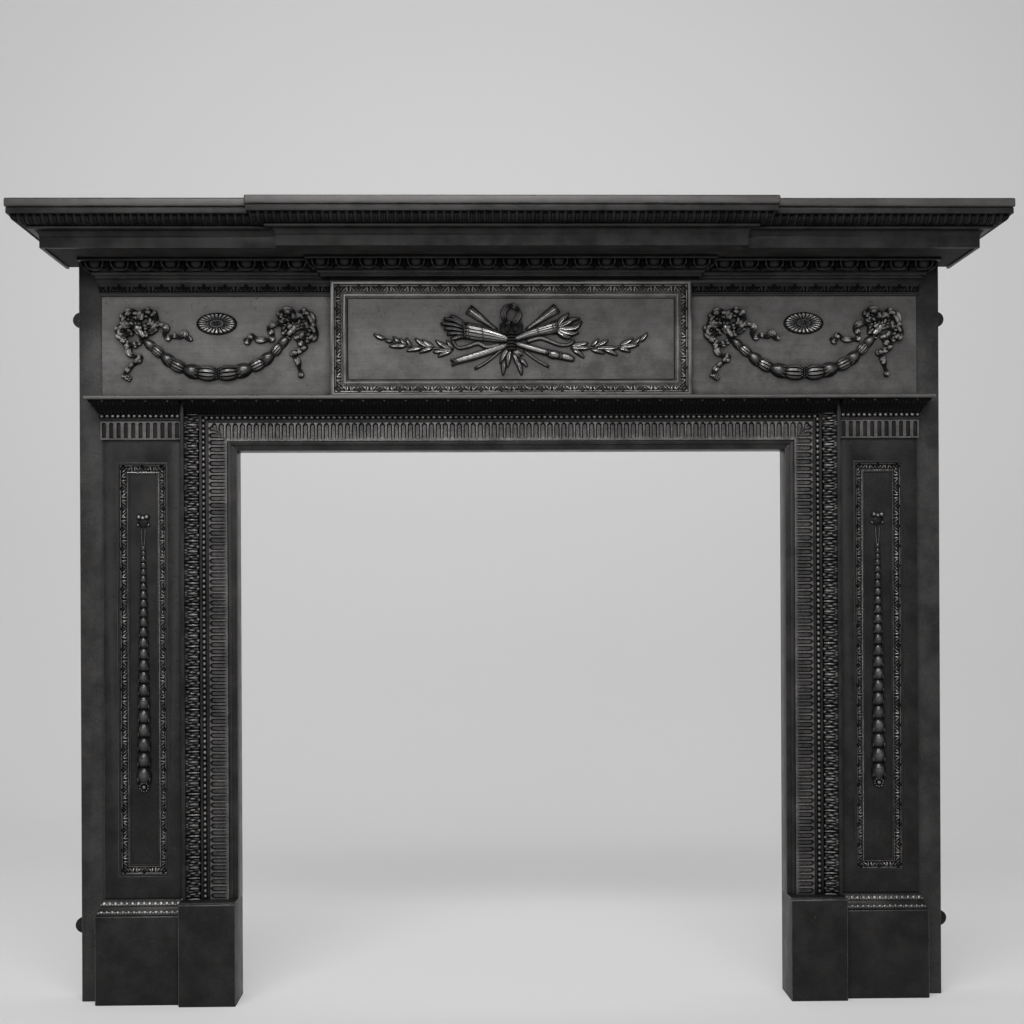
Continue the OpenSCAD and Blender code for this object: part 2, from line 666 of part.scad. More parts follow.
module panel_cut(grow, p0, p1)
    block(pil_mid - panel_w / 2 - grow, pil_mid + panel_w / 2 + grow, p0, p1,
          panel_z - grow, panel_z + panel_h + grow);

// Cut back round the block, so that a higher block still clears it
module pilaster(sign) side(sign) difference() {
    union() {
        block(half_arch, half_pil, face_back, pilaster_out, shaft_z, ledge_z);
        block(half_pil - wall, half_pil, return_d, face_back, shaft_z, ledge_z);
        block(half_arch, half_arch + wall, leg_rib_p, face_back, shaft_z, ledge_z);
        for (z = side_screw_z) pin_y(side_screw_x, z, return_d, face_back + quirk, boss_r);
    }
    panel_cut(0, 0, pilaster_out + eps);
    block(half_arch - eps, joint_x, 0, block_out, 0, block_h);
    for (z = side_screw_z) pin_y(side_screw_x, z, return_d - eps, pilaster_out - screw_skin, screw_r);
    for (z = bolt_z) pin_x(half_arch - eps, half_arch + wall + eps, bolt_p, z, bolt_r + bolt_gap);
}

module pilaster_left() color("#303033") place() pilaster(-1);
module pilaster_right() color("#303033") place() pilaster(1);

panel_rim = 4;                                 // rim behind the face that holds the panel
// Steps of the panel moulding, as [how far in from its edge, how far back from the face]
panel_steps = [[5, 2], [15, 5], [20.5, panel_sink]];

module panel(sign) side(sign) difference() {
    union() {
        panel_cut(0, field_out - wall, pilaster_out);
        panel_cut(panel_rim, field_out - wall, face_back);
    }
    for (q = panel_steps) panel_cut(-q[0], pilaster_out - q[1], pilaster_out + eps);
}

module panel_left() color("#2c2c2f") place() panel(-1);
module panel_right() color("#2c2c2f") place() panel(1);

// ---- plinths and blocks --------------------------------------------------------------------------
plinth_x = half_pil + plinth_side;
side_ratio = plinth_side / (plinth_out - pilaster_out);

// How far each member stands behind the face of the plinth, and the share of the height it ends at
base_foot_set = 3;
base_foot_h = 3;
base_hollow_set = 10;
base_low = 0.42;
base_mid = 0.62;
base_high = 0.92;
base_top_set = 16;

function base_face() = let (
    p = plinth_out - base_foot_set, z = plinth_h + base_foot_h,
    z1 = plinth_h + base_mould_h * base_low, z2 = plinth_h + base_mould_h * base_mid,
    z3 = plinth_h + base_mould_h * base_high
) concat(
    [[p, plinth_h], [p, z]],
    flip(ovolo(plinth_out - base_hollow_set + 2, z1, p - quirk, z)),
    [[plinth_out - base_hollow_set, z2], [plinth_out - base_hollow_set - base_foot_set, z3],
     [plinth_out - base_top_set, z3], [plinth_out - base_top_set, shaft_z]]
);

module base_mould(sign) side(sign) difference() {
    between(joint_x, half_body)
        returned(base_face(), plinth_x - base_foot_set * side_ratio, plinth_out - base_foot_set,
                 return_d, side_ratio);
    block(0, half_pil - wall, 0, face_back, plinth_h - eps, shaft_z - wall);
}

module base_mould_left() color("#2b2b2e") place() base_mould(-1);
module base_mould_right() color("#2b2b2e") place() base_mould(1);

// Hollow at the back and open at the foot
module plinth(sign) side(sign) difference() {
    block(joint_x, plinth_x, return_d, plinth_out, 0, plinth_h);
    block(joint_x + wall, plinth_x - wall, return_d - eps, plinth_out - wall, -eps, plinth_h - wall);
}

module plinth_left() color("#2d2d30") place() plinth(-1);
module plinth_right() color("#2d2d30") place() plinth(1);

module leg_block(sign) side(sign) difference() {
    run_x([[0, 0], [block_out, 0], [block_out, block_h - block_chamfer],
           [block_out - block_chamfer, block_h], [0, block_h]], half_open, joint_x);
    block(half_open + wall, joint_x - wall, -eps, block_out - wall, -eps, block_h - wall);
}

module block_left() color("#2a2a2d") place() leg_block(-1);
module block_right() color("#2a2a2d") place() leg_block(1);

// ---- side returns and wall fixings ---------------------------------------------------------------
return_lap = 17;                               // how far the returns lap behind the pilasters

module side_return(sign) side(sign) difference() {
    union() {
        block(half_body - wall, half_body, 0, return_d, 0, soffit_z);
        block(half_pil - return_lap, half_body, return_d - wall, return_d, 0, soffit_z);
    }
    for (z = side_screw_z)
        pin_y(side_screw_x, z, return_d - wall - eps, return_d + eps, screw_r + screw_gap);
    for (z = tie_z)
        pin_y(half_body - tie_end_in, z + tie_h / 2, tie_front - eps, return_d - screw_short, screw_r);
}

module side_return_left() color("#313134") place() side_return(-1);
module side_return_right() color("#313134") place() side_return(1);

module fixing_lugs() color("#313134") place()
    for (s = [-1, 1], z = lug_z) side(s) difference() {
        union() {
            block(half_body, half_body + lug_reach, 0, wall, z - lug_r, z + lug_r);
            intersection() {
                pin_y(half_body + lug_reach, z, 0, wall, lug_r);
                block(half_body, half_body + lug_reach + lug_r, 0, wall, z - lug_r, z + lug_r);
            }
        }
        pin_y(half_body + lug_reach, z, -eps, wall + eps, lug_hole_r);
    }

// ---- behind the castings -------------------------------------------------------------------------
tie_screw_x = [half_body - tie_end_in, frieze_boss_x[1], frieze_boss_x[0], tablet_boss_x];

module tie_bars() color("#27272a") place()
    for (z = tie_z) difference() {
        block(-half_body + wall, half_body - wall, tie_back, tie_front, z, z + tie_h);
        for (s = [-1, 1], x = tie_screw_x)
            pin_y(s * x, z + tie_h / 2, tie_back - eps, tie_front + eps, screw_r + screw_gap);
    }

corner_gap = 3;                                // round a corner plate, inside the flanges
corner_x0 = half_open + wall + corner_gap;
corner_x1 = half_arch - wall - corner_gap;
corner_z0 = opening_h - 44;
corner_z1 = ledge_z - 2 * corner_gap;
corner_screws_leg = [[half_open + 30, opening_h - 30], [half_open + 72, opening_h + 20]];
corner_screws_lintel = [[half_open + 22, ledge_z - 16], [half_open + 48, ledge_z - 16]];

module corner_plates() color("#27272a") place()
    for (s = [-1, 1]) side(s) difference() {
        block(corner_x0, corner_x1, web_back - wall, web_back, corner_z0, corner_z1);
        for (q = concat(corner_screws_leg, corner_screws_lintel))
            pin_y(q[0], q[1], web_back - wall - eps, web_back + eps, screw_r + screw_gap);
    }

module leg_bolts() color("#3c3c40") place()
    for (s = [-1, 1], z = bolt_z) side(s) {
        pin_x(half_arch - wall, half_arch + wall + nut_h + bolt_past_nut, bolt_p, z, bolt_r);
        translate([half_arch - wall - bolt_head_h, -bolt_p, z]) rotate([0, 90, 0])
            cylinder(r = bolt_head_r, h = bolt_head_h, $fn = 6);
    }

module leg_nuts() color("#3c3c40") place()
    for (s = [-1, 1], z = bolt_z) side(s) difference() {
        translate([half_arch + wall, -bolt_p, z]) rotate([0, 90, 0])
            cylinder(r = bolt_head_r, h = nut_h, $fn = 6);
        pin_x(half_arch, half_arch + wall + nut_h + bolt_past_nut, bolt_p, z, bolt_r);
    }

// Screw with its head at p0 - head and its tip at p1
module frame_screw(x, z, p0, p1) {
    pin_y(x, z, p0 - screw_head_t, p0, screw_head_r);
    pin_y(x, z, p0, p1, screw_r);
}

module frame_screws() color("#3c3c40") place()
    for (s = [-1, 1]) side(s) {
        for (z = tie_z) {
            frame_screw(tie_screw_x[0], z + tie_h / 2, tie_back, return_d - screw_short);
            for (x = frieze_boss_x)
                frame_screw(x, z + tie_h / 2, tie_back, pilaster_out - side_skin - screw_short);
            frame_screw(tablet_boss_x, z + tie_h / 2, tie_back, tablet_field - side_skin - screw_short);
        }
        for (z = side_screw_z)
            frame_screw(side_screw_x, z, return_d - wall, pilaster_out - screw_skin - screw_short);
        for (q = concat(corner_screws_leg, corner_screws_lintel))
            frame_screw(q[0], q[1], web_back - wall, band_out - screw_skin - screw_short);
    }

// ---- assembly ------------------------------------------------------------------------------------
shelf_plate();
cornice_left();
cornice_centre();
cornice_right();
soffit_plate();
shelf_rail();
shelf_ribs();
egg_dart_left();
egg_dart_centre();
egg_dart_right();
frieze_left();
frieze_right();
frieze_cap_left();
frieze_cap_right();
tablet_plate();
tablet_frame();
tablet_trophy();
garland_left();
garland_right();
ribbon_bows();
oval_paterae();
ledge();
lintel_leaf();
lintel();
architrave_left();
architrave_right();
capital_left();
capital_right();
pilaster_left();
pilaster_right();
panel_left();
panel_right();
husk_drop_left();
husk_drop_right();
base_mould_left();
base_mould_right();
plinth_left();
plinth_right();
block_left();
block_right();
side_return_left();
side_return_right();
fixing_lugs();
tie_bars();
corner_plates();
leg_bolts();
leg_nuts();
frame_screws();
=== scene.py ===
"""Looks of a cast iron fireplace surround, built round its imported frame.

Lengths are in millimetres unless a name says otherwise. x runs to the right along the wall, p is the
distance out from the wall, and z is the height above the floor. `Site.at` turns the three into a place
in the scene. An ornament is drawn on its own flat field, as (across, up) from its middle.
"""

import json
import logging
import math
from collections.abc import Callable, Iterable, Iterator, Sequence
from dataclasses import dataclass, replace
from enum import Enum

import bmesh
import bpy
import numpy as np
from mathutils import Matrix, Vector

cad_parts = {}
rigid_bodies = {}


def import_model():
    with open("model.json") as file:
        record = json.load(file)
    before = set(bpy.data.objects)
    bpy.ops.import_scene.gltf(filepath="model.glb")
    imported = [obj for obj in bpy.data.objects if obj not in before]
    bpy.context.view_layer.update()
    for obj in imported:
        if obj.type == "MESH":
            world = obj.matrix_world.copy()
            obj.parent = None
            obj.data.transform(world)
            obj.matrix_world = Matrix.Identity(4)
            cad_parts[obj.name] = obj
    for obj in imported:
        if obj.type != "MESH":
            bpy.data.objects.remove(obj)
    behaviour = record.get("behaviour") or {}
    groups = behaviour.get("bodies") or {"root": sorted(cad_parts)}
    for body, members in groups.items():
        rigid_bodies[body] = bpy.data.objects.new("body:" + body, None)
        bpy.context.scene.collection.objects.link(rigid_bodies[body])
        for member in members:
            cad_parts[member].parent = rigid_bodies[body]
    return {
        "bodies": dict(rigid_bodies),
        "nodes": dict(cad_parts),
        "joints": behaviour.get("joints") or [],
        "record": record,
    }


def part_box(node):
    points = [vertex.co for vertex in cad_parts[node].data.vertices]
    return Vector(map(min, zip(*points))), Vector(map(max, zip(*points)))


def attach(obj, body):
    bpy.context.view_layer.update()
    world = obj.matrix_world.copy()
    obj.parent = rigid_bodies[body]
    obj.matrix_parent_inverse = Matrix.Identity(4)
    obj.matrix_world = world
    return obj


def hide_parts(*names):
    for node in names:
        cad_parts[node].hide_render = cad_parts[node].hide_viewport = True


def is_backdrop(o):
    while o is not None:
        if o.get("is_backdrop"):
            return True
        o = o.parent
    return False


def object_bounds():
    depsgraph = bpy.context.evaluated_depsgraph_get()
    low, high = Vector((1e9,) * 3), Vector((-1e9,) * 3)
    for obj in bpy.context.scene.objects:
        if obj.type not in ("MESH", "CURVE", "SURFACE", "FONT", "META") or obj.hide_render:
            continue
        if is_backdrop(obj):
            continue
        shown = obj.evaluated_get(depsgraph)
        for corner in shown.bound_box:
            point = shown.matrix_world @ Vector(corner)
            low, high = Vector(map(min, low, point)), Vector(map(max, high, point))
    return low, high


MM = 0.001
DOUBLES = 0.00001
BODY = "root"
SHARP_ANGLE = 42
STREAK_STRETCH = (0.06, 1.0, 1.0)  # draws the polish streaks out along the wall
SUNK = 0.6  # how far an applied ornament's foot lies inside its field
SKIRT = 1.3  # width of the dark line left round an ornament's foot, as blacking and painted shade
SKIRT_LIFT = 0.25
FOOT_LIFT = 0.5  # the least height of an ornament at its own edge
RUFFLE_LIFT = 0.7  # share of a ruffle's swelling that its height takes
DRIFT = 1.6  # how far the ruffles of a ribbon stray from even
DRIFT_WAVES = 13
RIDGE_FALL = 1.2  # how fast the wear and its painted highlight fall off below a limb's ridge
BOSS_FALL = 1.3  # and below the top of a boss
MITRE_GAP = 0.05  # a carved band's lines keep this far from its mitres
MITRE_SNAP = 0.02  # places this near to a mitre are put on it
FACE = 0.5  # level of a plain face, between a hollow's 0, dark with blacking and painted shade, and an edge's 1, bright with wear and a painted highlight
WHITE = (1.0, 1.0, 1.0)

Point = tuple[float, float]
Triple = tuple[float, float, float]
Socket = bpy.types.NodeSocket
Value = Socket | float | Triple
log = logging.getLogger("surround")


# ---- where things stand ----


@dataclass(frozen=True)
class Span:
    """The box that one casting fills: along the wall, out from it and up."""

    x0: float
    x1: float
    p0: float
    p1: float
    z0: float
    z1: float

    @property
    def mid_x(self) -> float:
        """Middle of the box along the wall."""
        return (self.x0 + self.x1) / 2

    @property
    def reach(self) -> float:
        """The box's greatest distance from the middle of the surround."""
        return max(abs(self.x0), abs(self.x1))


@dataclass(frozen=True)
class Site:
    """Where the frame stands, as the y of the wall it is fixed to."""

    wall: float

    def at(self, x: np.ndarray, p: np.ndarray, z: np.ndarray) -> np.ndarray:
        """Turns distances along, out from and up the wall into places in metres, on one more axis."""
        x, p, z = np.broadcast_arrays(x, p, z)
        return np.stack((x * MM, self.wall - p * MM, z * MM), axis=-1)

    def span(self, node: str) -> Span:
        """Reads a casting's box from the frame, by its name there."""
        low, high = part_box(node)
        return Span(low.x / MM, high.x / MM, (self.wall - high.y) / MM, (self.wall - low.y) / MM,
                    low.z / MM, high.z / MM)


class Side(Enum):
    """The two sides of the surround, as seen from the room."""

    LEFT = -1
    RIGHT = 1

    def node(self, stem: str) -> str:
        """Name of this side's casting in the frame."""
        return f"{stem}_{self.name.lower()}"


# ---- finishes ----


@dataclass(frozen=True)
class Iron:
    """A finish of the iron: darker in its hollows and corners, from blacking and painted shade, and brighter
    on its high places, from polishing wear and a painted highlight.
    """

    name: str
    dark: float = 0.009  # brightness of its plain faces
    rubbed_highlight: float = 0.10  # brightness of the high places: polishing wear with a painted highlight
    rough: float = 0.34
    metal: float = 0.0  # share of bare metal in the look
    sheen: float = 0.25  # strength of its reflections
    hollow: float = 1.0  # share of the brightness that is left in the hollows of its carving, where blacking and painted shade darken it
    corner: float = 0.3  # share of the brightness that is left in corners and round what stands on it: painted shade
    corner_shade_reach: float = 6.0  # how far the painted shade reaches out of a corner
    grain: float = 0.05  # height of the sand-cast grain
    speckle: float = 0.1  # how far the brightness varies from grain to grain, as a share
    mottle: float = 0.3  # how far the brightness varies in patches, as a share
    streak: float = 0.0  # how much the polish streaks run along the wall, as a share
    pits: float = 0.0
    rust: float = 0.04  # how much brown shows through
    size: float = 38.0  # distance across one patch

    def material(self) -> bpy.types.Material:
        """Makes the finish's material once, and gives it again after that."""
        found = bpy.data.materials.get(self.name)
        if found:
            return found
        made = bpy.data.materials.new(self.name)
        made.use_nodes = True
        sheet = Sheet(made)
        place = sheet.node("TexCoord", "Object", {})
        patches = sheet.noise(place, self.size, 5.0, 0.62)
        fine = sheet.noise(place, 2.2, 3.0, 0.6)
        # Per-vertex level: the high places are brightened for polishing wear and a painted highlight, and the
        # hollows are darkened for blacking and painted shade.
        worn = sheet.node("Attribute", "Fac", {}, attribute_name="worn")
        rubbing_and_highlight = sheet.times(sheet.ramp(worn, FACE, 1.0, 0.0, 1.0), sheet.ramp(fine, 0.3, 0.72, 0.55, 1.15))
        # Ambient occlusion darkens corners and the field round ornaments: painted shade.
        openness = sheet.node("AmbientOcclusion", "AO", {"Distance": self.corner_shade_reach * MM}, samples=4)
        blacking_and_shade = sheet.times(sheet.ramp(worn, 0.0, FACE, self.hollow, 1.0),
                            sheet.ramp(openness, 0.25, 0.95, self.corner, 1.0))
        shade = sheet.times(sheet.ramp(patches, 0.32, 0.7, 1 - self.mottle, 1 + self.mottle), blacking_and_shade)
        shade = sheet.times(shade, sheet.ramp(fine, 0.3, 0.7, 1 - self.speckle, 1 + self.speckle))
        if self.streak:
            along = sheet.node("Mapping", "Vector", {"Vector": place, "Scale": STREAK_STRETCH})
            lines = sheet.noise(along, 5.0, 4.0, 0.7)
            shade = sheet.times(shade, sheet.ramp(lines, 0.3, 0.72, 1 - self.streak, 1 + self.streak))
        colour = sheet.blend(rubbing_and_highlight, self.grey(self.dark), self.grey(self.rubbed_highlight))
        colour = sheet.node("VectorMath", "Vector", {0: colour, "Scale": shade}, operation="SCALE")
        if self.rust:
            blush = sheet.ramp(sheet.noise(place, self.size * 0.45, 6.0, 0.7), 0.5, 0.8, 0.0, self.rust)
            brown = max(self.dark, 0.02)
            colour = sheet.blend(blush, colour, (brown * 2.6, brown * 1.7, brown * 1.1))
        gloss = sheet.ramp(patches, 0.3, 0.72, self.rough - 0.05, self.rough + 0.06)
        gloss = sheet.maths("SUBTRACT", gloss, sheet.times(rubbing_and_highlight, 0.1))
        gloss = sheet.maths("ADD", gloss, sheet.times(sheet.maths("SUBTRACT", 1.0, blacking_and_shade), 0.4))
        bump = sheet.bump(fine, self.grain)
        if self.pits:
            holes = sheet.ramp(sheet.noise(place, 7.0, 2.0, 0.5), 0.62, 0.7, 1.0, 0.0)
            bump = sheet.bump(holes, self.pits, bump)
        bump = sheet.bump(patches, self.grain * 4, bump)
        sheet.feed(sheet.skin, {"Metallic": self.metal, "Specular IOR Level": self.sheen,
                                "Base Color": colour, "Roughness": gloss, "Normal": bump})
        return made

    @staticmethod
    def grey(level: float) -> Triple:
        """A grey of that brightness with the faint warmth of blacked iron."""
        return level * 1.03, level * 0.99, level * 0.975


class Sheet:
    """Lays out the nodes of one material."""

    MIX_COLOURS = (6, 7)
    MIX_RESULT = 2

    def __init__(self, material: bpy.types.Material) -> None:
        """Starts from a material's own shader."""
        self.tree = material.node_tree
        self.skin = next(n for n in self.tree.nodes if n.type == "BSDF_PRINCIPLED")

    def feed(self, node: bpy.types.Node, inputs: dict[str | int, Value]) -> None:
        """Gives a node its inputs.

        Args:
            node: the node.
            inputs: another node's output, a number, a vector or a colour for each input.
        """
        for name, value in inputs.items():
            socket = node.inputs[name]
            if isinstance(value, Socket):
                self.tree.links.new(value, socket)
            else:
                socket.default_value = (*value, 1.0) if socket.type == "RGBA" else value

    def node(self, kind: str, output: str | int, inputs: dict[str | int, Value],
             **settings: object) -> Socket:
        """Adds a node.

        Args:
            kind: its type.
            output: the output that is wanted.
            inputs: its inputs by name or number.
            **settings: its properties by name.

        Returns:
            The output.
        """
        made = self.tree.nodes.new(f"ShaderNode{kind}")
        for name, value in settings.items():
            setattr(made, name, value)
        self.feed(made, inputs)
        return made.outputs[output]

    def noise(self, place: Socket, size: float, detail: float, rough: float) -> Socket:
        """A cloudy pattern of that size, with finer layers of that number and strength."""
        inputs = {"Vector": place, "Scale": 1 / (size * MM), "Detail": detail, "Roughness": rough}
        return self.node("TexNoise", "Fac", inputs)

    def ramp(self, value: Socket, low: float, high: float, start: float, end: float) -> Socket:
        """Maps the range from low to high smoothly onto start to end."""
        inputs = {"Value": value, "From Min": low, "From Max": high, "To Min": start, "To Max": end}
        return self.node("MapRange", "Result", inputs, interpolation_type="SMOOTHSTEP")

    def maths(self, operation: str, first: Value, second: Value) -> Socket:
        """Joins two values by an operation."""
        return self.node("Math", "Value", {0: first, 1: second}, operation=operation)

    def times(self, first: Value, second: Value) -> Socket:
        """Multiplies two values."""
        return self.maths("MULTIPLY", first, second)

    def blend(self, share: Value, first: Value, second: Value) -> Socket:
        """Blends from the first colour to the second by a share."""
        inputs = {"Factor": share, **dict(zip(self.MIX_COLOURS, (first, second)))}
        return self.node("Mix", self.MIX_RESULT, inputs, data_type="RGBA")

    def bump(self, height: Socket, rise: float, below: Socket | None = None) -> Socket:
        """A relief of that pattern and height in millimetres, on a coarser one if there is one."""
        inputs = {"Strength": 1.0, "Distance": rise * MM, "Height": height}
        return self.node("Bump", "Normal", inputs if below is None else {**inputs, "Normal": below})


class Finish(Enum):
    """The finishes of the surround, with the record's material slot of each."""

    CAST = ("cast_iron", Iron("blacked_iron", dark=0.03, rubbed_highlight=0.26, metal=0.3, sheen=0.12, hollow=0.1))
    FIELD = ("cast_iron", Iron("blacked_field", dark=0.024, metal=0.3, sheen=0.16, corner=0.2, speckle=0.2,
                               mottle=0.25, size=60.0))
    # A brighter copy of the cast iron for the tablet frame, whose lighter colour paints the light falling on
    # it.
    FRAME = ("cast_iron", Iron("frame_painted_lighter", dark=0.12, rubbed_highlight=0.3, rough=0.32, metal=0.6, sheen=0.2,
                               hollow=0.16, corner=0.3))
    CURLS = ("cast_iron", Iron("rubbed_curls", dark=0.055, rubbed_highlight=0.3, rough=0.36, metal=0.5, sheen=0.2,
                               hollow=0.08, corner=0.3))
    # Soft arrises: wear with a painted highlight along each edge.
    ARRIS = ("cast_iron", Iron("arris_wear_and_highlight", dark=0.08, rubbed_highlight=0.12, rough=0.3, metal=0.3, corner=0.6))
    PLAIN = ("plain_iron", Iron("plain_blacked_iron", dark=0.014, rough=0.44, sheen=0.24, mottle=0.5,
                                rust=0.14, pits=0.3, speckle=0.3, size=45.0))
    # A lighter copy of the plain iron for the side returns, painting the light that falls on those side
    # faces.
    RETURN = ("plain_iron", Iron("return_painted_lighter", dark=0.034, rough=0.5, sheen=0.3, mottle=0.44,
                                 rust=0.12, pits=0.24, speckle=0.24, size=55.0))
    # Polished field; its painted corner shade reaches far out along the field's edges.
    PANEL = ("panel_iron", Iron("polished_field", dark=0.078, rubbed_highlight=0.1, rough=0.40, metal=0.6,
                                corner=0.3, corner_shade_reach=16.0, mottle=0.3, streak=0.09, pits=0.16, rust=0.08,
                                size=40.0))
    SHELF = ("shelf_iron", Iron("polished_shelf", dark=0.10, rubbed_highlight=0.12, rough=0.4, metal=0.4,
                                mottle=0.16, pits=0.08, rust=0.08, size=60.0))
    RIBBON = ("ornament_iron", Iron("polished_ribbon", dark=0.026, rubbed_highlight=0.46, rough=0.28, metal=0.4,
                                    sheen=0.4, hollow=0.06))
    ORNAMENT = ("ornament_iron", Iron("polished_ornament", dark=0.03, rubbed_highlight=0.3, rough=0.28, metal=0.4,
                                      sheen=0.5, hollow=0.1))
    ROUGH = ("rough_iron", Iron("rough_cast_back", dark=0.03, rough=0.78, metal=0.1, grain=0.16,
                                mottle=0.5, rust=0.5, pits=0.2, size=45.0))
    STEEL = ("steel_fixings", Iron("dull_steel", dark=0.16, rubbed_highlight=0.3, rough=0.5, metal=0.85,
                                   grain=0.02, mottle=0.3, rust=0.35, size=9.0))

    @property
    def slot(self) -> str:
        """The record's material slot."""
        return self.value[0]

    @property
    def iron(self) -> Iron:
        """The finish itself."""
        return self.value[1]


# ---- courses: the ways that mouldings run ----


class Plane(Enum):
    """The plane in which a course runs: round the surround in plan, or on its face."""

    PLAN = "x and p"
    FACE = "x and z"


@dataclass(frozen=True)
class Leg:
    """One straight leg of a course, with the mitre at each end."""

    start: np.ndarray  # where its outer edge starts
    along: np.ndarray  # unit step along it
    inwards: np.ndarray  # step inwards from its edge, for 1 mm of the section
    length: float  # length of its edge
    start_slope: float  # how much later it starts, for 1 mm inwards
    end_slope: float  # how much further it goes, for 1 mm inwards


@dataclass(frozen=True)
class Course:
    """The way that a moulding's outer edge runs, with its inner side to the right."""

    plane: Plane  # the plane it runs in
    points: tuple[Point, ...]  # its corners
    legs: tuple[int, ...] = ()  # numbers of the legs that one piece takes, or all of them
    closed: bool = False  # whether the last corner joins the first
    side_share: float = 1.0  # in plan, how far the sides stand out against the front

    @property
    def count(self) -> int:
        """Number of legs in the whole course."""
        return len(self.points) - (0 if self.closed else 1)

    def line(self, index: int) -> tuple[np.ndarray, np.ndarray, np.ndarray, float]:
        """One leg without its mitres.

        Args:
            index: its number, which wraps round.

        Returns:
            Its start, step along, step inwards and length.
        """
        start = np.array(self.points[index % self.count], float)
        end = np.array(self.points[(index % self.count + 1) % len(self.points)], float)
        length = float(np.linalg.norm(end - start))
        along = (end - start) / length
        sideways = self.plane is Plane.PLAN and abs(along[0]) < 0.5
        inwards = np.array((along[1], -along[0])) * (self.side_share if sideways else 1.0)
        return start, along, inwards, length

    def each(self) -> Iterator[Leg]:
        """Gives the piece's legs in order."""
        for index in self.legs or range(self.count):
            start, along, inwards, length = self.line(index)
            before = index > 0 or self.closed
            after = index < self.count - 1 or self.closed
            yield Leg(start, along, inwards, length,
                      float(self.line(index - 1)[2] @ along) if before else 0.0,
                      float(self.line(index + 1)[2] @ along) if after else 0.0)

    def places(self, site: Site, leg: Leg, s: np.ndarray, a: np.ndarray, b: np.ndarray) -> np.ndarray:
        """Places on one leg.

        Args:
            site: where the frame stands.
            leg: the leg.
            s: distance along it.
            a: distance inwards from its outer edge.
            b: height of the section, up the wall in plan or out from it on the face.

        Returns:
            The places in metres.
        """
        first = leg.start[0] + s * leg.along[0] + a * leg.inwards[0]
        second = leg.start[1] + s * leg.along[1] + a * leg.inwards[1]
        return site.at(first, second, b) if self.plane is Plane.PLAN else site.at(first, b, second)


def quarter(start: Point, end: Point, steps: int = 5) -> list[Point]:
    """A quarter of an ellipse that leaves its start along b and comes to its end along a."""
    turns = np.linspace(0, math.pi / 2, steps + 1)
    return [(start[0] + (end[0] - start[0]) * (1 - math.cos(t)), start[1] + (end[1] - start[1]) * math.sin(t))
            for t in turns]


def straight(start: Point, end: Point, marks: Sequence[float]) -> list[Point]:
    """Points between two ends, at the given shares of the way."""
    return [(start[0] + (end[0] - start[0]) * m, start[1] + (end[1] - start[1]) * m) for m in marks]


def mirrored(points: Sequence[Point]) -> tuple[Point, ...]:
    """The same way on the other half of the surround, still run from left to right."""
    return tuple((-x, p) for x, p in reversed(points))


def corner_course(side: Side, end: float, joint: float, back: float, front: float,
                  side_share: float = 1.0) -> Course:
    """Lays a course round one side's outer corner, from back to front at its end, then to the joint."""
    points = ((-end, back), (-end, front), (-joint, front))
    return Course(Plane.PLAN, points if side is Side.LEFT else mirrored(points), side_share=side_share)


class Part(Enum):
    """The three castings of a course whose middle breaks forward, with the legs that each takes."""

    LEFT = (0, 1)
    CENTRE = (2, 3, 4)
    RIGHT = (5, 6)

    def node(self, stem: str) -> str:
        """Name of this part's casting in the frame."""
        return f"{stem}_{self.name.lower()}"

    def course(self, half: float, back: float, wing: float, middle_half: float, centre: float) -> Course:
        """Lays this part's course, from the half lengths and the lines of its ends, wings and middle."""
        left = ((-half, back), (-half, wing), (-middle_half, wing), (-middle_half, centre))
        return Course(Plane.PLAN, (*left, *mirrored(left)), self.value)


EVEN_MARKS = tuple(k / 15 for k in range(16))
BERRY_RINGS = (0, 0.45, 0.8, 1)
BEAD_MARKS = (0, 0.06, 0.2, 0.35, 0.5, 0.65, 0.8, 0.94, 1)
BAR_EDGE = 0.9  # share of a short rise at which a second line keeps an edge crisp


# ---- carved patterns ----


def fade(value: np.ndarray, low: float, high: float) -> np.ndarray:
    """0 below low, 1 above high, and smooth between."""
    t = np.clip((value - low) / (high - low), 0, 1)
    return t * t * (3 - 2 * t)


def dome(radius: np.ndarray) -> np.ndarray:
    """Height of a round dome at a share of its radius."""
    return np.sqrt(np.clip(1 - radius**2, 0, 1))


@dataclass(frozen=True)
class Carving:
    """A pattern cut along a moulding, the same on both sides of each unit's middle."""

    pitch: float  # length of one unit
    cuts: tuple[float, ...]  # distances from a unit's middle at which the mesh has a line
    corner: float = 0.5  # phase of the pattern at a mitre, 0 for a unit's middle and 0.5 for the gap
    fall: float = 1.6  # how fast the wear and its painted highlight fall off below the highest places
    shine: float = 1.0  # wear of the highest places, with their painted highlight
    low: float = 0.0  # wear of the lowest places; below a plain face's level, blacking and painted shade darken them

    def height(self, u: np.ndarray, v: np.ndarray, wide: float) -> np.ndarray:
        """Height of the pattern off the moulding's own surface.

        Args:
            u: distance from the middle of the nearest unit.
            v: distance across the moulding from its first edge.
            wide: the moulding's whole width.

        Returns:
            The heights, positive where it stands out.
        """
        raise NotImplementedError


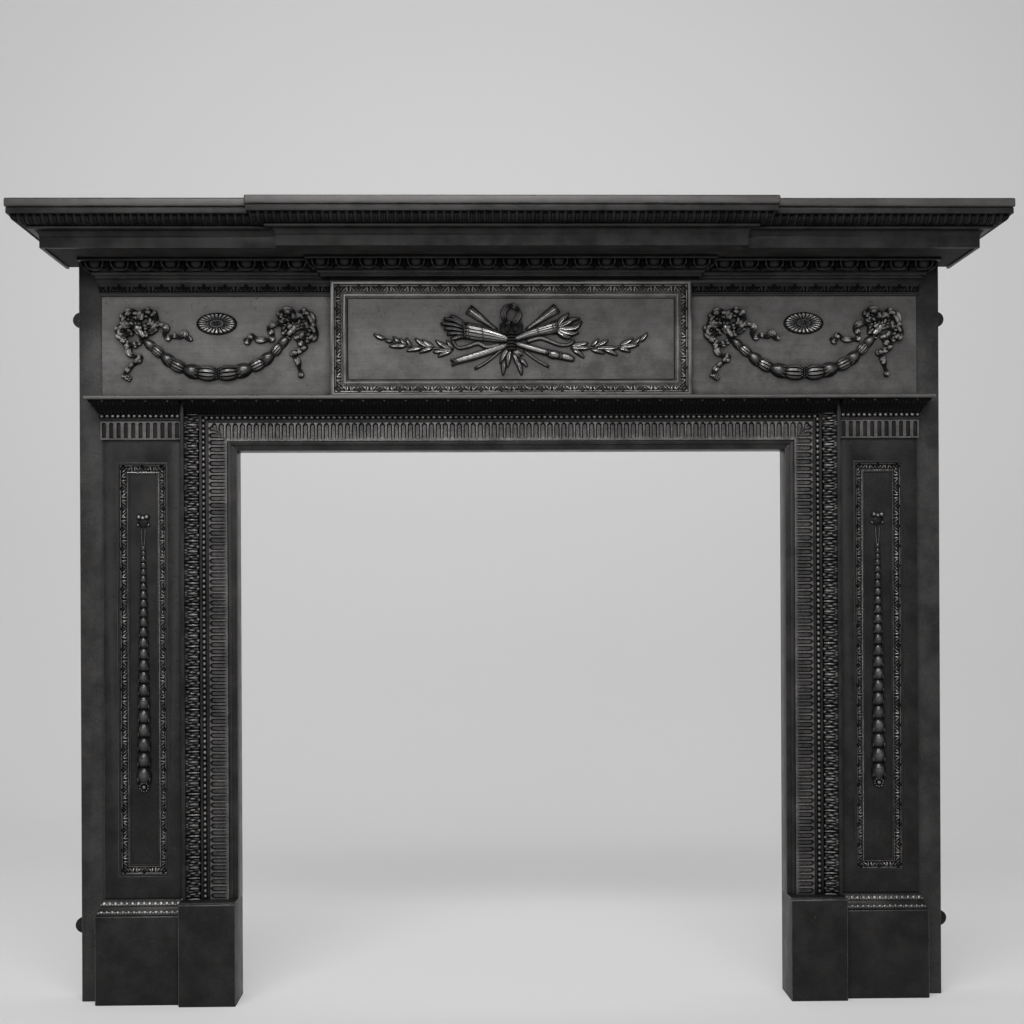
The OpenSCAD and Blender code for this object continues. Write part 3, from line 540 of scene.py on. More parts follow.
@dataclass(frozen=True)
class Tongues(Carving):
    """Round-topped tongues with a raised rim, and a dart in each gap."""

    deep: float = 2.6  # how far the ground lies below the moulding's surface
    rim: float = 0.43  # half the width of a tongue, as a share of the pitch

    def height(self, u: np.ndarray, v: np.ndarray, wide: float) -> np.ndarray:
        """Gives the tongue's rim, channel and rounded body.

        Args:
            u: distance from the unit's middle.
            v: distance across.
            wide: the whole width, not used.

        Returns:
            The heights.
        """
        edge = self.pitch * self.rim
        lip = edge * 0.17
        across = np.hypot(u, np.minimum(0, v - edge - 0.6))
        body = -0.25 * self.deep - 0.35 * self.deep * (across / (edge - 2 * lip)) ** 2
        channel = -0.62 * self.deep
        inside = np.where(across < edge - 2.1 * lip, body, np.where(across < edge - lip, channel, 0.0))
        gap = self.pitch / 2 - u
        dart = 0.45 * self.deep * (gap < 0.09 * self.pitch) * (v > edge * 0.6)
        return np.where(across <= edge, inside, dart - self.deep)


@dataclass(frozen=True)
class Eggs(Carving):
    """Eggs in raised cups that hang from the fillet above, with a dart between each pair."""

    fall: float = 2.2
    shine: float = 0.7
    deep: float = 5.0  # how far the ground lies below the moulding's surface
    tall: float = 20.8  # the height that the cup and egg are drawn to
    cup: Point = (15.2, 20.2)  # half width and height of a cup
    egg: Point = (9.4, 14.2)  # half width and height of an egg
    egg_down: float = 3.6  # how far below the fillet the egg starts
    dart: float = 3.6  # half the width of a dart at its top

    def height(self, u: np.ndarray, v: np.ndarray, wide: float) -> np.ndarray:
        """Gives the cup's rim, the egg in it and the dart between.

        Args:
            u: distance from the unit's middle.
            v: distance across.
            wide: the whole width.

        Returns:
            The heights.
        """
        down = v * self.tall / wide
        cup = np.hypot(u / self.cup[0], down / self.cup[1])
        egg = np.hypot(u / self.egg[0], (down - self.egg_down) / self.egg[1])
        rim = fade(cup, 0.78, 0.86) * fade(cup, 1.02, 0.97)
        level = self.deep * (rim - 1)
        level = np.maximum(level, np.where(egg < 1, self.deep * (0.9 * dome(egg) ** 0.8 - 1), -self.deep))
        gap = self.pitch / 2 - u
        half = self.dart * (1 - 0.35 * down / self.tall)
        blade = fade(half - gap, 0, 0.7) * fade(down, 1.0, 3.0)
        ridge = 0.55 + 0.45 * np.exp(-((gap / 0.9) ** 2)) - 0.25 * np.exp(-(((gap - 1.9) / 0.7) ** 2))
        return np.maximum(level, self.deep * (blade * ridge * 0.92 - 1))


@dataclass(frozen=True)
class DottedLeaf(Carving):
    """A row of bars with a drilled hole between each pair, over curled leaves on a deep ground."""

    deep: float = 3.4  # how far the ground lies below the moulding's surface
    hole: float = 1.7  # half the width of a drilled hole
    # the leaf's lobes, each as distance from the unit's middle, share of the way across, half length,
    # half width as a share of the moulding, lean and height as a share of the depth
    lobes: tuple[tuple[float, float, float, float, float, float], ...] = (
        (2.8, 0.60, 1.7, 0.30, 0.0, 1.0), (0.0, 0.60, 0.9, 0.16, 0.0, 0.6),
        (6.4, 0.56, 1.5, 0.27, 0.5, 0.85), (9.4, 0.68, 1.4, 0.24, 0.7, 0.75),
        (12.2, 0.54, 1.5, 0.22, 0.7, 0.8), (14.9, 0.70, 1.3, 0.22, 0.4, 0.65),
        (16.9, 0.50, 0.9, 0.18, 0.0, 0.6))

    def height(self, u: np.ndarray, v: np.ndarray, wide: float) -> np.ndarray:
        """Gives the highest of the bars, the lobes and the bead along the foot.

        Args:
            u: distance from the unit's middle.
            v: distance across.
            wide: the whole width.

        Returns:
            The heights.
        """
        down = v / wide
        gap = self.pitch / 2 - u
        level = 0.72 * fade(gap, self.hole, self.hole + 1.0) * fade(down, 0.04, 0.1) * fade(down, 0.3, 0.22)
        for middle, share, half, tall, lean, rise in self.lobes:
            near = np.hypot((u - middle - lean * (down - share) * wide) / half, (down - share) / tall)
            level = np.maximum(level, rise * dome(near) ** 0.6)
        level = np.maximum(level, 0.62 * fade(down, 0.9, 0.94))
        return self.deep * (level - 1) * fade(np.minimum(down, 1 - down), 0.0, 0.04)


@dataclass(frozen=True)
class Bosses(Carving):
    """Leaf ribs and lobes: a list of rounded bosses on a sunk ground."""

    deep: float = 2.6  # how far the ground lies below the moulding's surface
    # each as distance from the unit's middle, share of the way across, half length, half width as a share
    # of the moulding, and height as a share of the depth
    bosses: tuple[tuple[float, float, float, float, float], ...] = ()

    def height(self, u: np.ndarray, v: np.ndarray, wide: float) -> np.ndarray:
        """Gives the highest boss at each place.

        Args:
            u: distance from the unit's middle.
            v: distance across.
            wide: the whole width.

        Returns:
            The heights.
        """
        down = v / wide
        level = np.zeros(np.broadcast(u, v).shape)
        for middle, share, half, tall, rise in self.bosses:
            near = np.hypot((u - middle) / half, (down - share) / tall)
            level = np.maximum(level, rise * dome(near) ** 0.7)
        return self.deep * (level - 1)


@dataclass(frozen=True)
class Flutes(Carving):
    """Concave flutes across a flat band, each with one round end."""

    shine: float = 0.74
    fall: float = 0.12
    half: float = 4.5  # half the width of a flute
    deep: float = 2.5  # depth of a flute
    quirk: float = 1.7  # how much deeper its edges are, where a dark line of blacking and painted shade stays
    square_end: float = 0.0  # distance from the band's first edge to the flutes' square ends
    round_end: float = 20.0  # distance from the band's first edge to the tips of their round ends

    def height(self, u: np.ndarray, v: np.ndarray, wide: float) -> np.ndarray:
        """Gives the hollow of the flute.

        Args:
            u: distance from the unit's middle.
            v: distance across.
            wide: the whole width, not used.

        Returns:
            The heights.
        """
        way = math.copysign(1, self.round_end - self.square_end)
        past = (v - (self.round_end - way * self.half)) * way
        across = np.hypot(u, np.maximum(0, past)) / self.half
        start = (v - self.square_end) * way
        quirk = self.quirk * fade(across, 0.62, 0.76) * fade(across, 1.0, 0.97)
        return -(self.deep * dome(across) ** 0.35 + quirk) * (start >= 0)


@dataclass(frozen=True)
class Beads(Carving):
    """A string of round beads."""

    half: Point = (4.1, 3.3)  # half the length and half the width of a bead
    rise: float = 3.4  # its height

    def height(self, u: np.ndarray, v: np.ndarray, wide: float) -> np.ndarray:
        """Gives the bead's dome."""
        return self.rise * dome(np.hypot(u / self.half[0], (v - wide / 2) / self.half[1]))


@dataclass(frozen=True)
class HangingLeaf(Carving):
    """A close row of leaves whose tips turn over at the top, with smaller tips between them."""

    deep: float = 2.4  # how far the ground lies below the moulding's surface
    rib: float = 5.84  # distance between the ribs of a leaf

    def height(self, u: np.ndarray, v: np.ndarray, wide: float) -> np.ndarray:
        """Gives the turned tips, the ribs below them and the tips between.

        Args:
            u: distance from the unit's middle.
            v: distance across.
            wide: the whole width.

        Returns:
            The heights.
        """
        down = v / wide
        gap = self.pitch / 2 - u
        tip = dome(np.hypot(u / 3.2, (down - 0.13) / 0.09))
        small = dome(np.hypot((gap - 1.0) / 3.0, (down - 0.36) / 0.09))
        middle = dome(np.hypot((u - 5.6) / 2.6, (down - 0.36) / 0.08))
        ribs = (0.35 + 0.3 * np.cos(2 * math.pi * u / self.rib)) * fade(down, 0.08, 0.2)
        body = ribs * (1 - 0.3 * down) + 0.25 * fade(down, 0.8, 0.95)
        return self.deep * (np.maximum.reduce((tip, 0.7 * small, 0.7 * middle, body)) - 1)


TONGUES = Tongues(12.6, (0, 1.7, 2.9, 3.4, 3.65, 4.3, 4.6, 5.3, 5.55, 6.0, 6.3), shine=0.6)
EGGS = Eggs(39.5, (0, 2.5, 4.8, 6.6, 7.8, 8.6, 10.5, 12.2, 13.2, 14.0, 14.9, 15.7, 16.3, 17.2, 18.0,
                   18.8, 19.75))
FRAME_LEAF = DottedLeaf(33.8, (0, 0.8, 1.5, 2.1, 2.7, 3.3, 3.9, 4.6, 5.4, 6.2, 7.0, 7.8, 8.6, 9.4, 10.2,
                               11.0, 11.8, 12.6, 13.4, 14.2, 14.9, 15.6, 16.3, 16.9),
                        fall=1.1, low=0.08, deep=2.8)
CAP_LEAF = replace(FRAME_LEAF, low=0.0, shine=0.62)
FLUTES = Flutes(11.57, (0, 1.4, 2.5, 2.9, 3.5, 4.1, 4.36, 4.46, 4.52, 5.785), square_end=7.5, round_end=33.1)
NECK_FLUTES = Flutes(11.57, (0, 1.0, 1.9, 2.5, 2.9, 3.15, 3.25, 5.785), shine=0.68, fall=2.0, half=3.2,
                     deep=3.2, quirk=0.0, square_end=27.5, round_end=2.3)
BEADS = Beads(9.2, (0, 1.4, 2.6, 3.5, 4.0, 4.6))
LEDGE_LEAF = HangingLeaf(34.6, (0, 1.4, 2.8, 4.2, 5.6, 7.0, 8.4, 10.0, 11.4, 12.6, 13.8, 15.0, 16.2, 17.3),
                         fall=3.0)
ACANTHUS = Bosses(34.7, (0, 1.2, 2.0, 2.6, 3.4, 4.4, 5.4, 6.4, 7.4, 8.4, 9.4, 10.4, 11.4, 12.4, 13.4, 14.4,
                         15.4, 16.4, 17.35), corner=0.0, fall=1.2, bosses=(
    (0.0, 0.46, 1.7, 0.5, 0.95), (5.2, 0.80, 2.4, 0.19, 0.85), (4.8, 0.30, 1.9, 0.26, 0.7),
    (8.2, 0.52, 1.9, 0.2, 0.9), (9.6, 0.16, 2.6, 0.15, 0.95), (10.0, 0.87, 2.6, 0.13, 0.6),
    (12.6, 0.64, 1.7, 0.22, 0.85), (13.4, 0.32, 2.0, 0.17, 0.65), (17.35, 0.45, 2.3, 0.36, 0.9),
    (15.4, 0.86, 2.2, 0.13, 0.9)))
SMALL_LEAF = Bosses(9.2, (0, 0.8, 1.6, 2.3, 2.9, 3.4, 4.0, 4.6), fall=1.0, deep=1.3, low=0.3, shine=0.85,
                    bosses=((0.0, 0.45, 3.4, 0.52, 1.0), (4.6, 0.7, 2.2, 0.3, 0.8),
                            (4.6, 0.2, 1.6, 0.2, 0.7)))


# ---- ornament in low relief ----


class Form(Enum):
    """Shape of a limb across its length, as (place from -1 to 1, share of the rise)."""

    ROUND = ((-1, 0), (-0.86, 0.5), (-0.5, 0.87), (0, 1), (0.5, 0.87), (0.86, 0.5), (1, 0))
    RIBBON = ((-1, 0), (-0.97, 0.8), (-0.78, 1), (-0.4, 0.7), (0, 0.6), (0.4, 0.7), (0.78, 1),
              (0.97, 0.85), (1, 0))
    LEAF = ((-1, 0), (-0.8, 0.62), (-0.4, 0.95), (-0.12, 0.9), (0, 0.6), (0.12, 0.9), (0.4, 0.95),
            (0.8, 0.62), (1, 0))
    RIDGE = ((-1, 0), (-0.75, 0.4), (-0.3, 0.62), (0, 1), (0.3, 0.62), (0.75, 0.4), (1, 0))
    SLOTS = ((-1, 0), (-0.94, 0.74), (-0.66, 0.92), (-0.55, 0.25), (-0.44, 0.96), (-0.12, 1), (0, 0.3),
             (0.12, 1), (0.44, 0.96), (0.55, 0.25), (0.66, 0.92), (0.94, 0.74), (1, 0))
    REEDS = ((-1, 0), (-0.96, 0.62), (-0.72, 0.84), (-0.65, 0.42), (-0.58, 0.86), (-0.28, 0.96), (-0.2, 0.5),
             (-0.12, 0.98), (0.12, 0.98), (0.2, 0.5), (0.28, 0.96), (0.58, 0.86), (0.65, 0.42), (0.72, 0.84),
             (0.96, 0.62), (1, 0))


@dataclass(frozen=True)
class Limb:
    """One limb of an ornament: a ribbon, leaf, petal, stem or shaft."""

    spine: tuple[Point, ...]  # points along its middle, as (across, up)
    half: tuple[float, ...]  # half its width, at even steps along it
    rise: tuple[float, ...] = (3.0,)  # its height off the field, at even steps along it
    form: Form = Form.ROUND  # its shape across
    steps: int = 10  # number of steps of the mesh along it
    ruffle: float = 0.0  # share by which its edges swell and shrink
    ruffles: float = 0.0  # how many times they do so
    shine: float = 1.0  # wear of its ridge, with its painted highlight

    def along(self, *spine: Point, **changes: object) -> "Limb":
        """The same limb along another spine."""
        return replace(self, spine=spine, **changes)

    def sized(self, size: float) -> "Limb":
        """The same limb with its widths and heights times a size."""
        return replace(self, half=tuple(size * k for k in self.half), rise=tuple(size * k for k in self.rise))


@dataclass(frozen=True)
class Seat:
    """Where an ornament sits on the surround."""

    x: float  # its middle along the wall
    z: float  # its middle up the wall
    p: float  # the field it lies on
    flip: int = 1  # -1 where it is seen mirrored
    turn: float = 0.0  # degrees that it is turned anticlockwise
    size: float = 1.0  # factor on its own drawing

    def spot(self, across: np.ndarray, up: np.ndarray) -> tuple[np.ndarray, np.ndarray]:
        """Carries the drawing's own (across, up) to x and z on the wall."""
        angle = math.radians(self.turn)
        across, up = across * self.size * self.flip, up * self.size
        return (self.x + across * math.cos(angle) - up * math.sin(angle),
                self.z + across * math.sin(angle) + up * math.cos(angle))

    def moved(self, across: float, up: float, turn: float = 0.0, size: float = 1.0, flip: int = 1) -> "Seat":
        """A seat elsewhere on this one's drawing."""
        x, z = self.spot(np.float64(across), np.float64(up))
        return Seat(float(x), float(z), self.p, self.flip * flip, self.turn + turn * self.flip,
                    self.size * size)


def way_along(line: np.ndarray) -> np.ndarray:
    """Distance from a line's start to each of its points."""
    return np.concatenate(([0], np.cumsum(np.hypot(*np.diff(line, axis=0).T))))


def halfway(start: Point, end: Point) -> Point:
    """The middle between two points."""
    return (start[0] + end[0]) / 2, (start[1] + end[1]) / 2


def smooth_line(points: Sequence[Point], steps: int) -> np.ndarray:
    """Runs a smooth line through points.

    Args:
        points: the points, as (across, up).
        steps: number of even steps along the line.

    Returns:
        The line's points, one row each.
    """
    knots = np.array(points, float)
    if len(knots) == 2:
        return knots[0] + (knots[1] - knots[0]) * np.linspace(0, 1, steps + 1)[:, None]
    reach = way_along(knots)
    slope = np.gradient(knots, reach, axis=0)
    fine = np.linspace(0, reach[-1], steps * 8 + 1)
    place = np.clip(np.searchsorted(reach, fine, side="right") - 1, 0, len(knots) - 2)
    gap = (reach[place + 1] - reach[place])[:, None]
    t = (fine - reach[place])[:, None] / gap
    line = ((1 + 2 * t) * (1 - t) ** 2 * knots[place] + t * (1 - t) ** 2 * gap * slope[place]
            + t * t * (3 - 2 * t) * knots[place + 1] - t * t * (1 - t) * gap * slope[place + 1])
    along = way_along(line)
    even = np.linspace(0, along[-1], steps + 1)
    return np.stack([np.interp(even, along, line[:, k]) for k in (0, 1)], axis=1)


# ---- the mould that castings are poured from ----


def plain_face_level(shell: bmesh.types.BMesh) -> None:
    """Gives every place of a shell the level of a plain face, with no painted highlight or shade."""
    layer = shell.verts.layers.float.new("worn")
    for vert in shell.verts:
        vert[layer] = FACE


class Band:
    """The section of a carved band, which lays a pattern out along a leg."""

    def __init__(self, face: Sequence[Point], back: Sequence[Point], plane: Plane) -> None:
        """Works out which way the face looks.

        Args:
            face: the band's surface across, as (a, b), from its first edge.
            back: the points that close its section behind.
            plane: the plane that its course runs in.
        """
        self.face = np.array(face, float)
        self.across = way_along(self.face)[:, None]
        tangent = np.gradient(self.face, self.across[:, 0], axis=0)
        normal = np.stack((-tangent[:, 1], tangent[:, 0]), axis=1) * (-1 if plane is Plane.PLAN else 1)
        normal = normal / np.hypot(*normal.T)[:, None]
        self.middle = float(np.interp(self.across[-1, 0] / 2, self.across[:, 0], self.face[:, 0]))
        self.outline = np.vstack((self.face, np.array(back, float)))
        self.lean = np.vstack((normal, np.zeros((len(back), 2))))

    def lay(self, leg: Leg, carving: Carving) -> tuple[np.ndarray, np.ndarray, np.ndarray, np.ndarray]:
        """Lays a pattern out along a leg, fitted to its length at the middle of the band.

        Args:
            leg: the leg.
            carving: the pattern.

        Returns:
            For each place, its distance along the leg, its two of the section, and the pattern's height.
        """
        edge = self.face[:, :1]
        first, last = leg.start_slope * self.middle, leg.length + leg.end_slope * self.middle
        count = max(1, round((last - first) / carving.pitch))
        pitch = (last - first) / count
        marks = np.unique(np.round([k + sign * cut / carving.pitch for k in range(-2, count + 3)
                                    for cut in carving.cuts for sign in (-1, 1)], 5))
        s = first + (marks - carving.corner) * pitch
        low = float(np.min(leg.start_slope * edge))
        high = float(np.max(leg.length + leg.end_slope * edge))
        keep = (s > low + MITRE_GAP) & (s < high - MITRE_GAP)
        s, marks = s[None, keep], marks[None, keep]
        start = carving.corner + (leg.start_slope * edge - first) / (
            carving.pitch if leg.start_slope else pitch)
        end = count + carving.corner + (leg.length + leg.end_slope * edge - last) / (
            carving.pitch if leg.end_slope else pitch)
        phase = np.hstack((start, np.broadcast_to(marks, (len(edge), s.shape[1])), end))
        u = np.abs((phase + 0.5) % 1 - 0.5) * carving.pitch
        rise = np.zeros((len(self.outline), u.shape[1]))
        rise[:len(edge)] = carving.height(u, np.broadcast_to(self.across, u.shape), float(self.across[-1, 0]))
        a, b = (self.outline[:, [k]] + rise * self.lean[:, [k]] for k in (0, 1))
        starts, ends = leg.start_slope * a, leg.length + leg.end_slope * a
        where = np.hstack((starts[:, :1], np.repeat(s, len(a), axis=0), ends[:, -1:]))
        early = where <= np.maximum(starts, where[:, :1]) + MITRE_SNAP
        late = where >= np.minimum(ends, where[:, -1:]) - MITRE_SNAP
        for mask, column in ((early, 0), (late, -1)):
            for grid in (where, a, b, rise):
                np.copyto(grid, grid[:, [column]], where=mask)
        return where, a, b, rise


class Mould:
    """Gathers the shells of one casting and pours them into one object."""

    def __init__(self, site: Site) -> None:
        """Starts an empty mould.

        Args:
            site: where the frame stands.
        """
        self.site = site
        self.body = bmesh.new()
        self.body.verts.layers.float.new("worn")

    def take(self, shell: bmesh.types.BMesh, soft: float = 0.0, longest: float = 6.0,
             second: bool = False) -> None:
        """Closes a shell, softens its arrises and adds it to the casting.

        Args:
            shell: the shell, which is used up.
            soft: width of the soft arris, or 0 to leave them.
            longest: arrises shorter than this stay as they are.
            second: whether all of it takes the casting's second finish.
        """
        for face in shell.faces:
            face.material_index = int(second)
        bmesh.ops.remove_doubles(shell, verts=shell.verts, dist=DOUBLES)
        rims = [e for e in shell.edges if e.is_boundary]
        if rims:
            bmesh.ops.holes_fill(shell, edges=rims, sides=0)
        bmesh.ops.recalc_face_normals(shell, faces=shell.faces)
        if soft:
            sharp = [e for e in shell.edges if len(e.link_faces) == 2
                     and e.calc_face_angle() > math.radians(SHARP_ANGLE) and e.calc_length() > longest * MM]
            made = bmesh.ops.bevel(shell, geom=sharp, offset=soft * MM, segments=2, profile=0.5,
                                   affect="EDGES", material=-1, clamp_overlap=True)
            # The bevels take the second finish, usually the arris one, which paints a highlight along each
            # arris.
            for face in made["faces"]:
                face.material_index = 1
        draft = bpy.data.meshes.new("draft")
        shell.to_mesh(draft)
        shell.free()
        self.body.from_mesh(draft)
        bpy.data.meshes.remove(draft)

    def weave(self, places: np.ndarray, worn: np.ndarray | None = None, soft: float = 0.0,
              second: bool = False) -> None:
        """Adds a closed shell: a grid whose vertices are carried to computed places.

        Args:
            places: rows by columns by 3, in metres, the last row on the first.
            worn: rows by columns, 0 in the hollows, dark with blacking and painted shade, and 1 on the high
                places, bright with wear and a painted highlight.
            soft: width of the soft arris.
            second: whether it takes the casting's second finish.
        """
        rows, columns = places.shape[:2]
        shell = bmesh.new()
        shell.verts.layers.float.new("worn")
        bmesh.ops.create_grid(shell, x_segments=columns - 1, y_segments=rows - 1, size=1.0)
        draft = bpy.data.meshes.new("draft")
        shell.to_mesh(draft)
        draft.vertices.foreach_set("co", np.ascontiguousarray(places, dtype=np.float32).ravel())
        worn = np.full((rows, columns), FACE) if worn is None else worn
        levels = np.ascontiguousarray(worn, dtype=np.float32).ravel()
        draft.attributes["worn"].data.foreach_set("value", levels)
        shell.clear()
        shell.from_mesh(draft)
        bpy.data.meshes.remove(draft)
        self.take(shell, soft, second=second)

    def run(self, course: Course, section: Sequence[Point], soft: float = 0.8) -> None:
        """Runs a plain section round a course.

        Args:
            course: the way it runs.
            section: the corners of its closed section, as (a, b).
            soft: width of its soft arrises.
        """
        a, b = np.array([*section, section[0]], float).T[:, :, None]
        parts = []
        for leg in course.each():
            s = np.hstack((leg.start_slope * a, leg.length + leg.end_slope * a))
            parts.append(course.places(self.site, leg, s, a, b))
        self.weave(np.concatenate(parts, axis=1), soft=soft)

    def carve(self, course: Course, face: Sequence[Point], back: Sequence[Point], carving: Carving,
              second: bool = False) -> None:
        """Runs a carved band round a course.

        Args:
            course: the way it runs.
            face: the band's surface across, as (a, b), from its first edge.
            back: the points that close its section behind.
            carving: the pattern on it.
            second: whether it takes the casting's second finish.
        """
        band = Band(face, back, course.plane)
        parts, wear = [], []
        for leg in course.each():
            where, a, b, rise = band.lay(leg, carving)
            parts.append(course.places(self.site, leg, where, a, b))
            wear.append(rise)
        places, rise = np.concatenate(parts, axis=1), np.concatenate(wear, axis=1)
        # High places take wear with a painted highlight, low places blacking with painted shade.
        worn = (rise - rise.min()) / (rise.max() - rise.min())
        worn = carving.low + (carving.shine - carving.low) * worn ** carving.fall
        worn[len(face):] = 0
        self.weave(np.vstack((places, places[:1])), np.vstack((worn, worn[:1])), second=second)

    def slab(self, span: Span, soft: float = 0.8) -> None:
        """Adds a plate or block.

        Args:
            span: the box it fills.
            soft: width of its soft arrises.
        """
        shell = bmesh.new()
        low = self.site.at(span.x0, span.p1, span.z0)
        high = self.site.at(span.x1, span.p0, span.z1)
        place = Matrix.Translation(Vector((low + high) / 2)) @ Matrix.Diagonal((*(high - low), 1.0))
        bmesh.ops.create_cube(shell, size=1.0, matrix=place)
        plain_face_level(shell)
        self.take(shell, soft)

    def limb(self, limb: Limb, seat: Seat) -> None:
        """Adds a limb of an ornament.

        Args:
            limb: the limb.
            seat: where its ornament sits.
        """
        line = smooth_line(limb.spine, limb.steps)
        way = np.linspace(0, 1, len(line))
        half, rise = (np.interp(way, np.linspace(0, 1, len(levels)), levels)
                      for levels in (limb.half, limb.rise))
        drift = DRIFT * np.sin(DRIFT_WAVES * way + line[0, 0])
        swell = limb.ruffle * np.sin(2 * math.pi * limb.ruffles * way + drift)
        half, rise = half * (1 + swell), rise * (1 + RUFFLE_LIFT * swell)
        tangent = np.gradient(line, axis=0)
        tangent = tangent / np.hypot(*tangent.T)[:, None]
        side = np.stack((-tangent[:, 1], tangent[:, 0]), axis=1)
        across, share = np.array(limb.form.value, float).T[:, :, None]
        skirt = half + SKIRT / seat.size
        reach = np.vstack((-skirt, across * half, skirt, skirt, -skirt, -skirt))
        low, deep = np.full((1, len(line)), SKIRT_LIFT), np.full((2, len(line)), -2 * SUNK)
        lift = np.vstack((low, np.maximum(share * rise, FOOT_LIFT), low, deep, low))
        out = line[None] + side[None] * reach[:, :, None]
        x, z = seat.spot(out[:, :, 0], out[:, :, 1])
        # The ridge and each ruffle's swell take wear with a painted highlight; the dips and the skirt round
        # the foot stay dark, as blacking with painted shade.
        ridge = limb.shine * ((1 + swell) / (1 + limb.ruffle)) ** 2 * (rise / rise.max()) ** 0.5
        ridge[[0, -1]] = 0
        flat = np.zeros((4, len(line)))
        self.weave(self.site.at(x, seat.p + lift * seat.size, z),
                   np.vstack((flat[:1], share ** RIDGE_FALL * ridge, flat)))

    def limbs(self, limbs: Iterable[Limb], seat: Seat) -> None:
        """Adds several limbs of one ornament."""
        for each in limbs:
            self.limb(each, seat)

    def dish(self, seat: Seat, half: Point, rings: Sequence[float], spokes: int,
             height: Callable[[np.ndarray, np.ndarray], np.ndarray]) -> None:
        """Adds a round or oval boss.

        Args:
            seat: where its middle sits.
            half: its half width and half height.
            rings: shares of its radius at which the mesh has a ring, from 0 to 1.
            spokes: number of steps round it.
            height: gives the height for a share of the radius and an angle.
        """
        edge = 1 + SKIRT / min(half)
        radius = np.array([*rings, edge, edge, 0.0])[:, None]
        angle = np.linspace(0, 2 * math.pi, spokes + 1)[None]
        top = np.broadcast_to(height(radius[:len(rings)], angle), (len(rings), spokes + 1))
        low, deep = np.full((1, spokes + 1), SKIRT_LIFT), np.full((2, spokes + 1), -2 * SUNK)
        lift = np.vstack((np.maximum(top, FOOT_LIFT), low, deep))
        x, z = seat.spot(radius * half[0] * np.cos(angle), radius * half[1] * np.sin(angle))
        # The top of the boss takes wear with a painted highlight; its skirt stays dark, as blacking with
        # painted shade.
        shine = np.clip(lift / lift.max(), 0, 1) ** BOSS_FALL
        self.weave(self.site.at(x, seat.p + lift * seat.size, z), shine)

    def berries(self, points: Sequence[Point], radius: float, rise: float, seat: Seat) -> None:
        """Adds a round berry of that radius and rise at each point of an ornament."""
        for across, up in points:
            self.dish(seat.moved(across, up), (radius, radius), BERRY_RINGS, 8, lambda r, _: rise * dome(r))

    def pour(self, node: str, finish: Finish, second: Finish = Finish.ARRIS) -> None:
        """Makes the object that stands for a casting of the frame.

        Args:
            node: the casting's name in the frame.
            finish: its finish.
            second: the finish of its soft arrises, and of the shells that take the second finish.
        """
        name = f"{node}_casting"
        mesh = bpy.data.meshes.new(name)
        self.body.to_mesh(mesh)
        self.body.free()
        mesh.materials.append(finish.iron.material())
        mesh.materials.append(second.iron.material())
        mesh.shade_smooth()
        mesh.set_sharp_from_angle(angle=math.radians(SHARP_ANGLE))
        piece = bpy.data.objects.new(name, mesh)
        bpy.context.scene.collection.objects.link(piece)
        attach(piece, BODY)
        finish.slot
        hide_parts(node)
        log.info("%s: %d faces", name, len(mesh.polygons))


def recast(site: Site, frame: dict, node: str, finish: Finish, soft: float) -> None:
    """Pours a casting again from its own mesh, with the soft arrises of the real one.

    Args:
        site: where the frame stands.
        frame: the loaded frame.
        node: the casting's name.
        finish: its finish.
        soft: width of its arrises.
    """
    shell = bmesh.new()
    shell.from_mesh(frame["nodes"][node].data)
    plain_face_level(shell)
    bmesh.ops.remove_doubles(shell, verts=shell.verts, dist=DOUBLES)
    bmesh.ops.dissolve_limit(shell, angle_limit=math.radians(1.0), verts=shell.verts, edges=shell.edges,
                             delimit={"NORMAL"})
    mould = Mould(site)
    mould.take(shell, soft, longest=9.0)
    mould.pour(node, finish)


# ---- shelf and cornice ----


